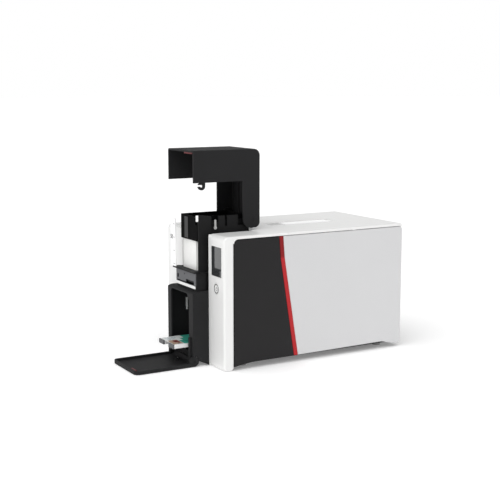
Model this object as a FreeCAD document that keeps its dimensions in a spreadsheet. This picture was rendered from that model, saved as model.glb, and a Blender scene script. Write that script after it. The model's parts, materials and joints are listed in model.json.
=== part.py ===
import FreeCAD, Part
import math
import os
import re

import Sketcher
from FreeCAD import Rotation, Vector

# Desktop card printer with a front feeder under a tilting cover and a card hopper below it.
# Lengths are in millimetres. +X is the printer's right side, the front faces -Y and +Z is up.
# Inside each sub-part's own frame y is 0 at the white front face and z is 0 at the table. The
# black column is one group, which stands a small gap before the back of its bay.
# The document's origin lies on the table, at the middle of the printer with its door open.

SIZES = {
    # whole case
    "body_width": 205.0,
    "body_depth": 350.0,
    "body_top": 217.0,
    "shell_wall": 2.6,
    "front_strip": 18.0,
    "front_foot_gap": 1.0,
    "top_edge_round": 9.0,
    "case_round": 3.5,
    "strip_round": 5.0,
    "seam_gap": 0.4,
    "seat_gap": 0.2,
    "cut_overrun": 2.0,
    # white lid over the ribbon
    "lid_front_y": 118.8,
    "lid_skirt": 4.4,
    "lid_hinge_inset": 6.0,
    "lid_hinge_z": 200.0,
    "lid_rear_skirt_z": 190.0,
    "lid_hinge_radius": 2.6,
    "lid_hinge_span": 30.0,
    "lid_hinge_offset": 62.0,
    "grip_width": 32.0,
    "grip_shift": 2.0,
    "grip_front_y": 139.0,
    "grip_length": 126.0,
    "grip_depth": 1.2,
    "button_length": 20.0,
    "button_width": 24.0,
    "button_inset": 5.0,
    "button_thick": 3.0,
    # coloured side panels
    "panel_thick": 4.0,
    "panel_recess": 0.6,
    "panel_seam": 0.9,
    "panel_foot_z": 6.0,
    "panel_arch_z": 10.4,
    "panel_arch_rear_z": 12.8,
    "panel_rear_foot_z": 7.2,
    "panel_foot_length": 34.0,
    "panel_rear_foot_length": 58.0,
    "panel_round": 6.0,
    "stripe_top_y": 101.7,
    "stripe_bend_y": 104.4,
    "stripe_bend_z": 177.0,
    "stripe_foot_y": 131.0,
    "stripe_width": 7.2,
    # rear panel and base
    "rear_thick": 3.0,
    "rear_gap_z": 2.5,
    "foot_radius": 7.0,
    "foot_height": 9.6,
    "foot_inset": 30.0,
    "foot_seat": 1.0,
    "base_floor": 3.0,
    "base_rib": 14.0,
    # black column and the bay that it stands in
    "column_width": 92.4,
    "column_shift": 3.2,
    "bay_gap": 0.6,
    "bay_depth": 80.0,
    "column_gap": 1.4,
    # tilting feeder cover, which stands open
    "cover_wall": 3.0,
    "cover_hinge_z": 235.5,
    "cover_back": 15.0,
    "cover_rise": 113.9,
    "cover_span": 107.4,
    "cover_box": 51.1,
    "cover_leg": 32.6,
    "cover_round": 10.5,
    "cover_heel_round": 9.0,
    "cover_edge_round": 4.0,
    "hinge_pin_radius": 3.0,
    "pin_clearance": 0.05,
    "hook_radius": 6.4,
    "hook_hole": 2.2,
    "hook_thick": 3.0,
    "hook_y": -9.5,
    "accent_width": 28.0,
    "accent_margin": 2.4,
    "accent_height": 2.4,
    "accent_depth": 3.0,
    # cards and the feeder that holds them
    "card_width": 54.0,
    "card_length": 85.6,
    "card_thick": 0.76,
    "card_shift": 6.3,
    "card_path_z": 154.0,
    "stack_front_y": -12.0,
    "stack_height": 48.6,
    "weight_height": 39.5,
    "weight_lead": 3.0,
    "weight_tab": 6.4,
    "weight_tab_length": 14.0,
    "weight_notch": 13.0,
    "feeder_wall": 2.4,
    "feeder_front_y": -14.0,
    "feeder_top_z": 246.8,
    "feeder_low_z": 235.0,
    "feeder_side_gap": 7.0,
    "feeder_floor": 3.0,
    "feeder_back": 4.2,
    "hinge_boss_radius": 10.0,
    "guide_rib": 1.6,
    "lobe_top_z": 243.0,
    "lobe_notch_z": 226.0,
    "gauge_y": 16.0,
    "gauge_width": 3.2,
    "gauge_height": 13.0,
    "gauge_top_z": 237.4,
    "gauge_knob": 2.8,
    "gauge_guide": 6.0,
    "scale_plate_y": -24.5,
    "scale_plate_thick": 1.6,
    # slot block between feeder and hopper
    "slot_front_y": -22.0,
    "slot_left_x": -23.7,
    "slot_back_y": -2.4,
    "slot_face": 1.6,
    "lip_reach": 2.5,
    "lip_thick": 1.4,
    "lip_sheet": 1.2,
    "lip_overhang": 8.0,
    "guide_strip": 4.6,
    "slot_base": 3.9,
    "slot_height": 2.2,
    "window_width": 29.0,
    "window_height": 7.0,
    "window_left_x": 11.6,
    "peep_size": 6.4,
    "slot_roller_radius": 5.0,
    # output hopper, its tray and its door
    "hopper_front_y": -28.7,
    "hopper_back_y": 62.0,
    "hopper_top_z": 123.6,
    "hopper_brow_z": 120.4,
    "hopper_corner": 6.0,
    "hopper_foot_z": 3.0,
    "hopper_wall": 3.0,
    "hopper_floor_z": 15.0,
    "mouth_left": 12.0,
    "mouth_right": 14.5,
    "mouth_top_z": 118.4,
    "mouth_chamfer": 7.0,
    "side_slot_y": 2.8,
    "side_slot_z": 75.4,
    "side_slot_width": 4.4,
    "side_slot_height": 21.7,
    "tray_z": 30.3,
    "tray_thick": 6.4,
    "tray_reach": 28.2,
    "tray_pad": 2.5,
    "tray_notch": 18.4,
    "tray_notch_depth": 26.0,
    "door_reach": 130.0,
    "door_hinge_y": -26.5,
    "door_bottom_z": 0.7,
    "door_knuckle": 8.4,
    "door_floor": 2.0,
    "door_rim": 5.8,
    "door_wall": 3.0,
    "door_corner": 8.0,
    "door_pin_radius": 2.0,
    "door_lug": 1.8,
    "arm_thick": 5.5,
    "arm_width": 7.0,
    "arm_top_z": 48.0,
    "arm_pin_radius": 2.0,
    "arm_inset": 6.2,
    "catch_radius": 2.6,
    "catch_y": -36.5,
    "door_mark": 17.0,
    # display and power button in the right column
    "display_drop": 18.0,
    "display_height": 48.0,
    "display_round": 2.4,
    "display_glass": 1.6,
    "display_recess": 0.5,
    "power_drop": 19.6,
    "power_radius": 8.4,
    "power_thick": 3.0,
    "switch_gap": 1.4,
    "board_thick": 1.6,
    # steel frame plates, rollers and belt
    "plate_thick": 1.5,
    "plate_gap": 9.0,
    "plate_top_z": 172.0,
    "shaft_radius": 3.0,
    "roller_radius": 8.0,
    "roller_margin": 2.0,
    "pinch_radius": 5.0,
    "clean_radius": 6.5,
    "pulley_radius": 7.0,
    "pulley_width": 6.0,
    "belt_thick": 1.4,
    "belt_offset": 2.0,
    "motor_size": 35.0,
    "motor_length": 30.0,
    "pick_radius": 9.0,
    "pick_y": 34.0,
    "pick_width": 30.0,
    # ribbon and print head
    "film_thick": 0.3,
    "film_lift": 1.4,
    "spool_core": 6.0,
    "supply_radius": 17.0,
    "takeup_radius": 11.0,
    "spool_z": 186.0,
    "cassette_wall": 2.0,
    "cassette_bar": 6.0,
    "head_length": 12.0,
    "head_height": 16.0,
    "head_edge": 3.0,
    "sink_height": 14.0,
    "sink_fin": 1.6,
    "sink_web": 4.0,
    "head_post": 8.0,
    # circuit board and sockets
    "mainboard_height": 110.0,
    "mainboard_inset": 14.0,
    "socket_z": 40.0,
    "socket_wall": 1.5,
    "socket_depth": 14.0,
    "power_socket_x": 70.0,
    "power_socket_size": 13.0,
    "usb_socket_x": 42.0,
    "usb_socket_size": 11.0,
    "network_socket_x": 14.0,
    "network_socket_size": 15.0,
    "screw_radius": 3.2,
    "screw_head": 1.6,
    "screw_inset": 12.0,
}

# Places that several sub-parts share, written in the sizes above.
SIDE = "(body_width / 2)"
PANEL_OUT = f"({SIDE} - panel_recess)"
PANEL_IN = f"({PANEL_OUT} - panel_thick)"
PANEL_TOP = "(body_top - lid_skirt - panel_seam)"
COLUMN_L = "(column_shift - column_width / 2)"
COLUMN_R = "(column_shift + column_width / 2)"
BAY_L = f"({COLUMN_L} - bay_gap)"
BAY_R = f"({COLUMN_R} + bay_gap)"
CARD_L = "(card_shift - card_width / 2)"
CARD_R = "(card_shift + card_width / 2)"
STACK_Z = "(card_path_z + card_thick)"
STACK_TOP = f"({STACK_Z} + stack_height)"
COVER_TOP = "(cover_hinge_z + cover_rise)"
COVER_REAR = "(cover_hinge_y + cover_back)"
COVER_FRONT = "(cover_hinge_y - cover_span)"
COVER_IN_L = f"({COLUMN_L} + cover_wall)"
COVER_IN_R = f"({COLUMN_R} - cover_wall)"
BOSS_L = f"({COVER_IN_L} + seam_gap)"
BOSS_R = f"({COVER_IN_R} - seam_gap)"
WALL_R = f"({COLUMN_R} - feeder_side_gap)"
WALL_L = f"({COLUMN_L} + feeder_side_gap)"
DOOR_HINGE_Z = "(door_bottom_z + door_knuckle)"
DOOR_IN_L = f"({COLUMN_L} + door_wall)"
DOOR_IN_R = f"({COLUMN_R} - door_wall)"
HOPPER_IN_L = f"({COLUMN_L} + hopper_wall)"
HOPPER_IN_R = f"({COLUMN_R} - hopper_wall)"
TRAY_FRONT = "(hopper_front_y - tray_reach)"
LID_HINGE_Y = "(body_depth - lid_hinge_inset)"
PLATE_L = "(card_shift - card_width / 2 - plate_gap)"
PLATE_R = "(card_shift + card_width / 2 + plate_gap)"
ROLLER_Z = "(card_path_z - roller_radius)"
PINCH_Z = "(card_path_z + card_thick + pinch_radius)"
CLEAN_Z = "(card_path_z + card_thick + clean_radius)"
PULLEY_X = f"({PLATE_R} + plate_thick + belt_offset)"
PULLEY_SPAN = (PULLEY_X, f"{PULLEY_X} + pulley_width")
FILM_Z = "(card_path_z + film_lift)"
HEAD_Z = f"({FILM_Z} + film_thick + seam_gap)"
SINK_Z = f"({HEAD_Z} + head_height)"
BASE_TOP = "(foot_height + base_floor)"
BOARD_X = f"(-{SIDE} + mainboard_inset)"
BOTTOM_HOOK_Z = f"({COVER_TOP} - cover_box - hook_radius * hook_drop_share)"
SHARES = {
    "hook_drop_share": 0.88,
    "foot_rise_share": 0.6,
    "foot_run_share": 1.53,
    "rear_run_share": 0.69,
    "rear_end_share": 0.24,
    "brow_share": 0.77,
    "mouth_slope_share": 1.4,
    "card_corner_share": 0.037,
    "lobe_end_share": 3.65,
    "lobe_start_share": 2.4,
    "step_end_share": 2.15,
    "step_start_share": 1.4,
    "film_run_share": 0.75,
    "film_slant_share": 1.2,
    "post_share": 0.05,
    "foot_share": 0.4,
    "glass_share": 0.655,
    "plate_front_share": 0.015,
    "clean_share": 0.048,
    "board_front_share": 0.06,
    "infeed_share": 0.104,
    "takeup_share": 0.23,
    "platen_share": 0.41,
    "supply_share": 0.58,
    "exit_share": 0.675,
    "board_length_share": 0.74,
    "motor_share": 0.845,
    "plate_back_share": 0.925,
}

# Places inside the case, as shares of the depth behind the bay or of the right column's width,
# and the column's own step from the white front, which the depth of the bay gives.
INNER = "(body_depth - bay_depth)"
RIGHT_COLUMN = f"({SIDE} - {BAY_R})"
FEEDER_REAR = "(stack_front_y + card_length + seam_gap * 2 + feeder_back)"
PLACES = {
    "column_step": f"bay_depth - column_gap - {FEEDER_REAR}",
    "cover_hinge_y": f"{FEEDER_REAR} + seam_gap + cover_wall",
    "front_foot_x": f"{BAY_R} + shell_wall + ({RIGHT_COLUMN} - shell_wall) * foot_share",
    "plate_front_y": f"bay_depth + {INNER} * plate_front_share",
    "clean_y": f"bay_depth + {INNER} * clean_share",
    "mainboard_y": f"bay_depth + {INNER} * board_front_share",
    "infeed_y": f"bay_depth + {INNER} * infeed_share",
    "takeup_y": f"bay_depth + {INNER} * takeup_share",
    "platen_y": f"bay_depth + {INNER} * platen_share",
    "supply_y": f"bay_depth + {INNER} * supply_share",
    "exit_y": f"bay_depth + {INNER} * exit_share",
    "motor_y": f"bay_depth + {INNER} * motor_share",
    "plate_back_y": f"bay_depth + {INNER} * plate_back_share",
    "mainboard_length": f"{INNER} * board_length_share",
    "power_z": "display_bottom_z - power_drop",
    "display_bottom_z": "body_top - display_drop - display_height",
    "power_x": f"{BAY_R} + {RIGHT_COLUMN} / 2",
    "display_width": f"{RIGHT_COLUMN} * glass_share",
    "display_left_x": f"{BAY_R} + {RIGHT_COLUMN} * (1 - glass_share) / 2",
}
FRONT_SHIFT = "(door_reach - column_step - body_depth) / 2"
POST_SHARES = (0.04, 0.92)
FIN_COUNT = 6
CORNER_SHARES = ((0.0, 1.0), (0.08, 0.62), (0.29, 0.29), (0.62, 0.08), (1.0, 0.0))

AXES = {"X": Vector(1, 0, 0), "Y": Vector(0, 1, 0), "Z": Vector(0, 0, 1)}
PLANES = {"X": "YZ_Plane", "Y": "XZ_Plane", "Z": "XY_Plane"}

doc = FreeCAD.newDocument("card_printer")
sheet = doc.addObject("Spreadsheet::Sheet", "dim")
for row, (alias, size) in enumerate({**SIZES, **SHARES}.items(), start=1):
    sheet.set(f"A{row}", alias)
    sheet.set(f"B{row}", str(size))
    sheet.setAlias(f"B{row}", alias)
doc.recompute()


def bound(text):
    """An expression on the sheet's cells, from a sum that names sizes and places alone."""
    for name, place in PLACES.items():
        text = re.sub(rf"\b{name}\b", f"({place})", text)
    return re.sub(r"[A-Za-z_]\w*", lambda found: "dim." + found.group(), text)


class Piece:
    """One sub-part: a body whose features read the sheet, in the front-face frame."""

    made = []
    origin_y = FRONT_SHIFT

    def __init__(self, label):
        self.body = doc.addObject("PartDesign::Body", label)
        self.body.Label = label
        self.body.setExpression(".Placement.Base.y", bound(Piece.origin_y))
        Piece.made.append(self)

    def place(self, feature, corner):
        for axis, text in zip("xyz", corner):
            feature.setExpression(f".Placement.Base.{axis}", bound(text))

    def block(self, x, y, z, cut=False):
        """A box from low to high along each axis, added or cut."""
        kind = "PartDesign::SubtractiveBox" if cut else "PartDesign::AdditiveBox"
        feature = self.body.newObject(kind, "Block")
        for name, (low, high) in zip(("Length", "Width", "Height"), (x, y, z)):
            feature.setExpression(name, bound(f"({high}) - ({low})"))
        self.place(feature, (x[0], y[0], z[0]))
        return self

    def rod(self, along, radius, span, centre, cut=False):
        """A cylinder along one axis, centred on the two other coordinates."""
        kind = "PartDesign::SubtractiveCylinder" if cut else "PartDesign::AdditiveCylinder"
        feature = self.body.newObject(kind, "Rod")
        feature.setExpression("Radius", bound(radius))
        feature.setExpression("Height", bound(f"({span[1]}) - ({span[0]})"))
        feature.Placement = FreeCAD.Placement(Vector(), Rotation(AXES["Z"], AXES[along]))
        corner = list(centre)
        corner.insert("XYZ".index(along), span[0])
        self.place(feature, corner)
        return self

    def prism(self, along, outline, span, cut=False):
        """A closed outline of named points on an origin plane, padded or pocketed along its axis."""
        sketch = self.body.newObject("Sketcher::SketchObject", "Outline")
        features = self.body.Origin.OriginFeatures
        plane = next(part for part in features if part.Role == PLANES[along])
        sketch.AttachmentSupport = [(plane, "")]
        sketch.MapMode = "FlatFace"
        start = f"-({span[1]})" if along == "Y" else span[0]
        sketch.setExpression(".AttachmentOffset.Base.z", bound(start))
        count = len(outline)
        turn = 2 * math.pi / count
        guess = [Vector(math.cos(turn * i), math.sin(turn * i), 0) for i in range(count)]
        for i in range(count):
            sketch.addGeometry(Part.LineSegment(guess[i], guess[(i + 1) % count]), False)
        for i in range(count):
            sketch.addConstraint(Sketcher.Constraint("Coincident", i, 2, (i + 1) % count, 1))
        for i, point in enumerate(outline):
            for kind, text in zip(("DistanceX", "DistanceY"), point):
                start_value = guess[i].x if kind == "DistanceX" else guess[i].y
                rule = Sketcher.Constraint(kind, -1, 1, i, 1, start_value)
                index = sketch.addConstraint(rule)
                sketch.setExpression(f"Constraints[{index}]", bound(text))
        kind = "PartDesign::Pocket" if cut else "PartDesign::Pad"
        feature = self.body.newObject(kind, "Prism")
        feature.Profile = sketch
        feature.setExpression("Length", bound(f"({span[1]}) - ({span[0]})"))
        if cut:
            feature.Reversed = True
        return self

    def rounded(self, radius, along, **sides):
        """A fillet on the straight edges along one axis that lie on the given sides of the box."""
        doc.recompute()
        shape = self.body.Tip.Shape
        corners = [vertex.Point for vertex in shape.Vertexes]
        limits = {a: sorted(getattr(corner, a) for corner in corners) for a in "xyz"}
        close = shape.BoundBox.DiagonalLength * 1e-5
        names = []
        for number, edge in enumerate(shape.Edges, start=1):
            if edge.Degenerated or edge.Curve.TypeId != "Part::GeomLine":
                continue
            if edge.tangentAt(edge.FirstParameter).cross(AXES[along]).Length > 1e-6:
                continue
            middle = edge.CenterOfMass
            ends = {a: limits[a][-1 if end == "max" else 0] for a, end in sides.items()}
            if all(abs(getattr(middle, a) - place) < close for a, place in ends.items()):
                names.append(f"Edge{number}")
        if not names:
            raise RuntimeError(f"{self.body.Label}: no edge to round along {along}")
        base = self.body.Tip
        feature = self.body.newObject("PartDesign::Fillet", "Round")
        feature.Base = (base, names)
        feature.setExpression("Radius", bound(radius))
        return self


def plus(text, step):
    return f"({text}) + ({step})"


def minus(text, step):
    return f"({text}) - ({step})"


def wider(low, high, step):
    """Both ends of a span, moved out by a step."""
    return minus(low, step), plus(high, step)


def front_cover():
    """White moulding: two front columns, the deck behind them and the walls of the bay."""
    piece = Piece("front_cover")
    inside = f"{SIDE} - shell_wall"
    piece.block((f"-{SIDE}", SIDE), ("0", "front_strip"), ("front_foot_gap", "body_top"))
    piece.rounded("strip_round", "X", y="min", z="min").rounded("strip_round", "X", y="max", z="min")
    deck_z = (minus("body_top", "lid_skirt"), "body_top")
    piece.block((f"-{SIDE}", SIDE), ("0", "lid_front_y - seam_gap"), deck_z)
    piece.rounded("top_edge_round", "X", y="min", z="max")
    piece.rounded("case_round", "Y", x="min", z="max").rounded("case_round", "Y", x="max", z="max")
    under = ("front_foot_gap + shell_wall", "body_top - shell_wall")
    behind = ("shell_wall", "lid_front_y")
    piece.block((f"-({inside})", inside), behind, under, cut=True)
    for edge, step in ((BAY_R, "shell_wall"), (BAY_L, "-shell_wall")):
        ends = (edge, plus(edge, step)) if step == "shell_wall" else (plus(edge, step), edge)
        piece.block(ends, ("0", "bay_depth"), ("front_foot_gap", "body_top - shell_wall / 2"))
    cut_y = (minus("0", "cut_overrun"), "bay_depth")
    bay = [(BAY_L, "0"), (BAY_R, "0")]
    # The bay's mouth widens at the top along a quarter round on each side.
    for across, up in CORNER_SHARES:
        bay.append((f"{BAY_R} + strip_round * {across}", f"body_top - strip_round * {up}"))
    bay.append((f"{BAY_R} + strip_round", plus("body_top", "cut_overrun")))
    bay.append((f"{BAY_L} - strip_round", plus("body_top", "cut_overrun")))
    for across, up in reversed(CORNER_SHARES):
        bay.append((f"{BAY_L} - strip_round * {across}", f"body_top - strip_round * {up}"))
    piece.prism("Y", bay, cut_y, cut=True)
    # White backing behind the rounded front top corner of each dark side panel.
    frame_y = ("front_strip - shell_wall / 2", "front_strip + seam_gap + panel_round")
    frame_z = (f"{PANEL_TOP} - panel_round", "body_top - lid_skirt / 2")
    corner = (frame_y[1], frame_z[0])
    for frame_x in ((PANEL_IN, SIDE), (f"-{SIDE}", f"-{PANEL_IN}")):
        piece.block(frame_x, frame_y, frame_z)
        piece.rod("X", "panel_round + seam_gap", frame_x, corner, cut=True)
    glass_x = ("display_left_x", "display_left_x + display_width")
    glass_z = ("display_bottom_z", "display_bottom_z + display_height")
    through = (minus("0", "cut_overrun"), plus("shell_wall", "cut_overrun"))
    piece.block(glass_x, through, glass_z, cut=True)
    piece.rod("Y", "power_radius + seam_gap", through, ("power_x", "power_z"), cut=True)


def bracket_ends(side):
    """The two spans across the printer that one lid hinge's fixed blocks take."""
    lows = (f"{side} - lid_hinge_span / 2", f"{side} + lid_hinge_span / 4 + seam_gap")
    return [(low, f"{low} + lid_hinge_span / 4 - seam_gap") for low in lows]


def top_lid():
    """White lid that tilts up at the rear, with its grip and its rear skirt."""
    piece = Piece("top_lid")
    length = ("lid_front_y", "body_depth")
    piece.block((f"-{SIDE}", SIDE), length, (minus("body_top", "lid_skirt"), "body_top"))
    back = (minus("body_depth", "rear_thick"), "body_depth")
    skirt_x = (f"-({PANEL_IN}) + seam_gap", f"{PANEL_IN} - seam_gap")
    piece.block(skirt_x, back, ("lid_rear_skirt_z", "body_top"))
    piece.rounded("case_round", "Y", x="min", z="max").rounded("case_round", "Y", x="max", z="max")
    piece.rounded("case_round", "X", y="max", z="max")
    hollow = (f"-({SIDE} - shell_wall)", f"{SIDE} - shell_wall")
    inner_z = ("body_top - lid_skirt - cut_overrun", "body_top - shell_wall")
    inner_y = ("lid_front_y + shell_wall", minus("body_depth", "rear_thick"))
    piece.block(hollow, inner_y, inner_z, cut=True)
    grip_x = ("grip_shift - grip_width / 2", "grip_shift + grip_width / 2")
    grip_y = ("grip_front_y", "grip_front_y + grip_length")
    grip_z = ("body_top - grip_depth", plus("body_top", "cut_overrun"))
    piece.block(grip_x, grip_y, grip_z, cut=True)
    for side in ("-lid_hinge_offset", "lid_hinge_offset"):
        for low, high in bracket_ends(side):
            notch_z = ("lid_rear_skirt_z - cut_overrun", "lid_hinge_z + lid_hinge_radius + seam_gap")
            notch_y = ("body_depth - rear_thick - cut_overrun", "body_depth + cut_overrun")
            piece.block(wider(low, high, "seam_gap"), notch_y, notch_z, cut=True)
        ear = (f"{side} - lid_hinge_span / 4", f"{side} + lid_hinge_span / 4")
        drop = (LID_HINGE_Y + " - lid_hinge_radius", minus("body_depth", "rear_thick / 2"))
        piece.block(ear, drop, ("lid_hinge_z", "body_top - shell_wall / 2"))
        piece.rod("X", "lid_hinge_radius", ear, (LID_HINGE_Y, "lid_hinge_z"))
        bore = wider(*ear, "cut_overrun")
        axis = (LID_HINGE_Y, "lid_hinge_z")
        piece.rod("X", "lid_hinge_radius / 2 + pin_clearance", bore, axis, cut=True)
    hole_x = wider("grip_shift - button_width / 2", "grip_shift + button_width / 2", "seam_gap")
    button_y = "grip_front_y + button_inset"
    hole_y = wider(button_y, f"{button_y} + button_length", "seam_gap")
    hole_z = ("body_top - lid_skirt", plus("body_top", "cut_overrun"))
    piece.block(hole_x, hole_y, hole_z, cut=True)


def lid_hinge(brackets):
    """Fixed hinge blocks on the rear panel and the two pins on which the lid turns."""
    pins = Piece("lid_hinge_pins")
    for side in ("-lid_hinge_offset", "lid_hinge_offset"):
        for ends in bracket_ends(side):
            rear = minus("body_depth", "rear_thick")
            root_top = "lid_rear_skirt_z - rear_gap_z"
            root = (f"{root_top} - lid_hinge_span / 2", root_top)
            brackets.block(ends, (LID_HINGE_Y + " - lid_hinge_radius", rear), root)
            upright = (LID_HINGE_Y + " - lid_hinge_radius", LID_HINGE_Y)
            brackets.block(ends, upright, (root[0], "lid_hinge_z"))
            brackets.rod("X", "lid_hinge_radius", ends, (LID_HINGE_Y, "lid_hinge_z"))
            bore = wider(*ends, "cut_overrun")
            brackets.rod("X", "lid_hinge_radius / 2", bore, (LID_HINGE_Y, "lid_hinge_z"), cut=True)
        span = (f"{side} - lid_hinge_span / 2", f"{side} + lid_hinge_span / 2")
        pins.rod("X", "lid_hinge_radius / 2", span, (LID_HINGE_Y, "lid_hinge_z"))


def lid_button():
    """Release button that sits in the lid's grip on four short legs."""
    piece = Piece("lid_release_button")
    x = ("grip_shift - button_width / 2", "grip_shift + button_width / 2")
    y = ("grip_front_y + button_inset", "grip_front_y + button_inset + button_length")
    piece.block(x, y, ("body_top - grip_depth - button_thick + seam_gap", "body_top - seam_gap"))
    for corner in ("x_min", "x_max"):
        side = x[0] if corner == "x_min" else x[1]
        piece.rounded("case_round / 2", "Z", **{corner[0]: corner[2:], "y": "min"})
        piece.rounded("case_round / 2", "Z", **{corner[0]: corner[2:], "y": "max"})


def side_panels():
    """Dark front panel, red stripe and light rear panel on each side of the case."""
    front_y = "(front_strip + seam_gap)"
    back_y = "(body_depth - seam_gap)"
    arch_length = "(body_depth - panel_foot_length - panel_rear_foot_length)"
    foot_slope = f"(panel_arch_rear_z - panel_arch_z) / {arch_length}"
    arch_at_stripe = f"panel_arch_z + {foot_slope} * (stripe_foot_y - panel_foot_length)"
    stripe_top = ("stripe_top_y", PANEL_TOP)
    stripe_bend = ("stripe_bend_y", "stripe_bend_z")
    stripe_foot = ("stripe_foot_y", arch_at_stripe)

    def beside(point, step):
        return plus(point[0], step), point[1]

    dark = [
        (front_y, "panel_foot_z"),
        ("panel_foot_length", "panel_foot_z + (panel_arch_z - panel_foot_z) * foot_rise_share"),
        ("panel_foot_length * foot_run_share", "panel_arch_z"),
        beside(stripe_foot, "-seat_gap"),
        beside(stripe_bend, "-seat_gap"),
        beside(stripe_top, "-seat_gap"),
        (front_y, PANEL_TOP),
    ]
    stripe = [
        stripe_foot,
        beside(stripe_foot, "stripe_width"),
        beside(stripe_bend, "stripe_width"),
        beside(stripe_top, "stripe_width"),
        stripe_top,
        stripe_bend,
    ]
    light = [
        beside(stripe_foot, "stripe_width + seat_gap"),
        ("body_depth - panel_rear_foot_length", "panel_arch_rear_z"),
        ("body_depth - panel_rear_foot_length * rear_run_share", "panel_arch_rear_z"),
        ("body_depth - panel_rear_foot_length * rear_end_share", "panel_rear_foot_z"),
        (back_y, "panel_rear_foot_z"),
        (back_y, PANEL_TOP),
        beside(stripe_top, "stripe_width + seat_gap"),
        beside(stripe_bend, "stripe_width + seat_gap"),
    ]
    sides = {"right": (PANEL_IN, PANEL_OUT), "left": (f"-{PANEL_OUT}", f"-{PANEL_IN}")}
    for side, span in sides.items():
        piece = Piece(f"{side}_front_panel").prism("X", dark, span)
        piece.rounded("panel_round", "X", y="min", z="max")
        Piece(f"{side}_stripe").prism("X", stripe, span)
        piece = Piece(f"{side}_rear_panel").prism("X", light, span)
        piece.rounded("panel_round", "X", y="max", z="max")
        piece.rounded("panel_round", "X", y="max", z="min")


def base_chassis():
    """Dark tray under everything, open where the hopper stands, with ribs along its sides."""
    piece = Piece("base_chassis")
    half = f"({PANEL_IN} - seat_gap)"
    y = ("front_strip + seam_gap", "body_depth - rear_thick - seat_gap")
    piece.block((f"-{half}", half), y, ("foot_height", BASE_TOP))
    for low, high in ((f"-{half}", f"-{half} + base_floor"), (f"{half} - base_floor", half)):
        piece.block((low, high), y, ("foot_height", plus(BASE_TOP, "base_rib")))
    notch = wider(BAY_L, BAY_R, "shell_wall + seat_gap")
    around = (minus("front_strip", "cut_overrun"), "bay_depth + seat_gap")
    piece.block(notch, around, ("0", plus(BASE_TOP, "cut_overrun")), cut=True)
    for y_share in POST_SHARES:
        y = f"(mainboard_y + mainboard_length * {y_share})"
        ends = (y, f"{y} + mainboard_length * post_share")
        piece.block((f"-{half}", BOARD_X), ends, (BASE_TOP, plus(BASE_TOP, "base_rib")))
    feet = Piece("rubber_feet")
    for x in ("-(front_foot_x)", "front_foot_x"):
        for y in ("front_strip + foot_inset", "body_depth - foot_inset"):
            seat = ("0", "foot_height + foot_seat")
            hole = ("foot_height - cut_overrun", seat[1])
            piece.rod("Z", "foot_radius - foot_seat", hole, (x, y), cut=True)
            feet.rod("Z", "foot_radius", ("0", "foot_height"), (x, y))
            feet.rod("Z", "foot_radius - foot_seat", seat, (x, y))


SOCKETS = (
    ("power_socket_x", "power_socket_size"),
    ("usb_socket_x", "usb_socket_size"),
    ("network_socket_x", "network_socket_size"),
)


def rear_panel():
    """Dark rear wall with its sockets, vents and screws."""
    piece = Piece("rear_panel")
    half = f"({PANEL_IN} - seat_gap)"
    y = ("body_depth - rear_thick", "body_depth")
    piece.block((f"-{half}", half), y, ("foot_height", "lid_rear_skirt_z - rear_gap_z"))
    piece.rounded("case_round", "Y", x="min", z="max").rounded("case_round", "Y", x="max", z="max")
    through = wider(*y, "cut_overrun")
    socket = Piece("rear_sockets")
    for x, size in SOCKETS:
        outer = (f"{x} - {size} / 2", f"{x} + {size} / 2")
        height = ("socket_z", f"socket_z + {size}")
        piece.block(outer, through, height, cut=True)
        deep = ("body_depth - socket_depth", "body_depth")
        socket.block(outer, deep, height)
        inner_x = wider(*outer, "-socket_wall")
        inner_z = wider(*height, "-socket_wall")
        open_y = ("body_depth - socket_depth + socket_wall", "body_depth + cut_overrun")
        socket.block(inner_x, open_y, inner_z, cut=True)
        tongue_x = wider(*inner_x, "-socket_wall * 2")
        tongue_z = wider(f"socket_z + {size} / 2", f"socket_z + {size} / 2", "socket_wall / 2")
        tongue_y = ("body_depth - socket_depth", "body_depth - socket_depth / 2")
        socket.block(tongue_x, tongue_y, tongue_z)
    screws = Piece("rear_screws")
    for x in ("screw_inset - body_width / 2", "body_width / 2 - screw_inset"):
        for z in ("foot_height + screw_inset", "lid_rear_skirt_z - rear_gap_z - screw_inset"):
            screws.rod("Y", "screw_radius", ("body_depth", "body_depth + screw_head"), (x, z))
    return piece


def display():
    """Glass, its circuit board, and the power button with its ring."""
    glass = Piece("display_window")
    gap = "seat_gap"
    x = wider("display_left_x", "display_left_x + display_width", f"-{gap}")
    z = wider("display_bottom_z", "display_bottom_z + display_height", f"-{gap}")
    glass.block(x, ("display_recess", "display_recess + display_glass"), z)
    for x_end in ("min", "max"):
        for z_end in ("min", "max"):
            glass.rounded("display_round", "Y", x=x_end, z=z_end)
    button = Piece("power_button")
    button.rod("Y", "power_radius", ("0", "power_thick"), ("power_x", "power_z"))
    board = Piece("front_board")
    back = "(power_thick + switch_gap + board_thick * 2)"
    sides = (f"{BAY_R} + shell_wall", f"{SIDE} - shell_wall")
    upright = ("power_z - power_radius", "display_bottom_z + display_height + shell_wall")
    board.block(sides, (back, f"{back} + board_thick"), upright)
    board.block(x, ("display_recess + display_glass", back), z)
    switch = ("power_thick + switch_gap", back)
    board.rod("Y", "power_radius / 2", switch, ("power_x", "power_z"))


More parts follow.
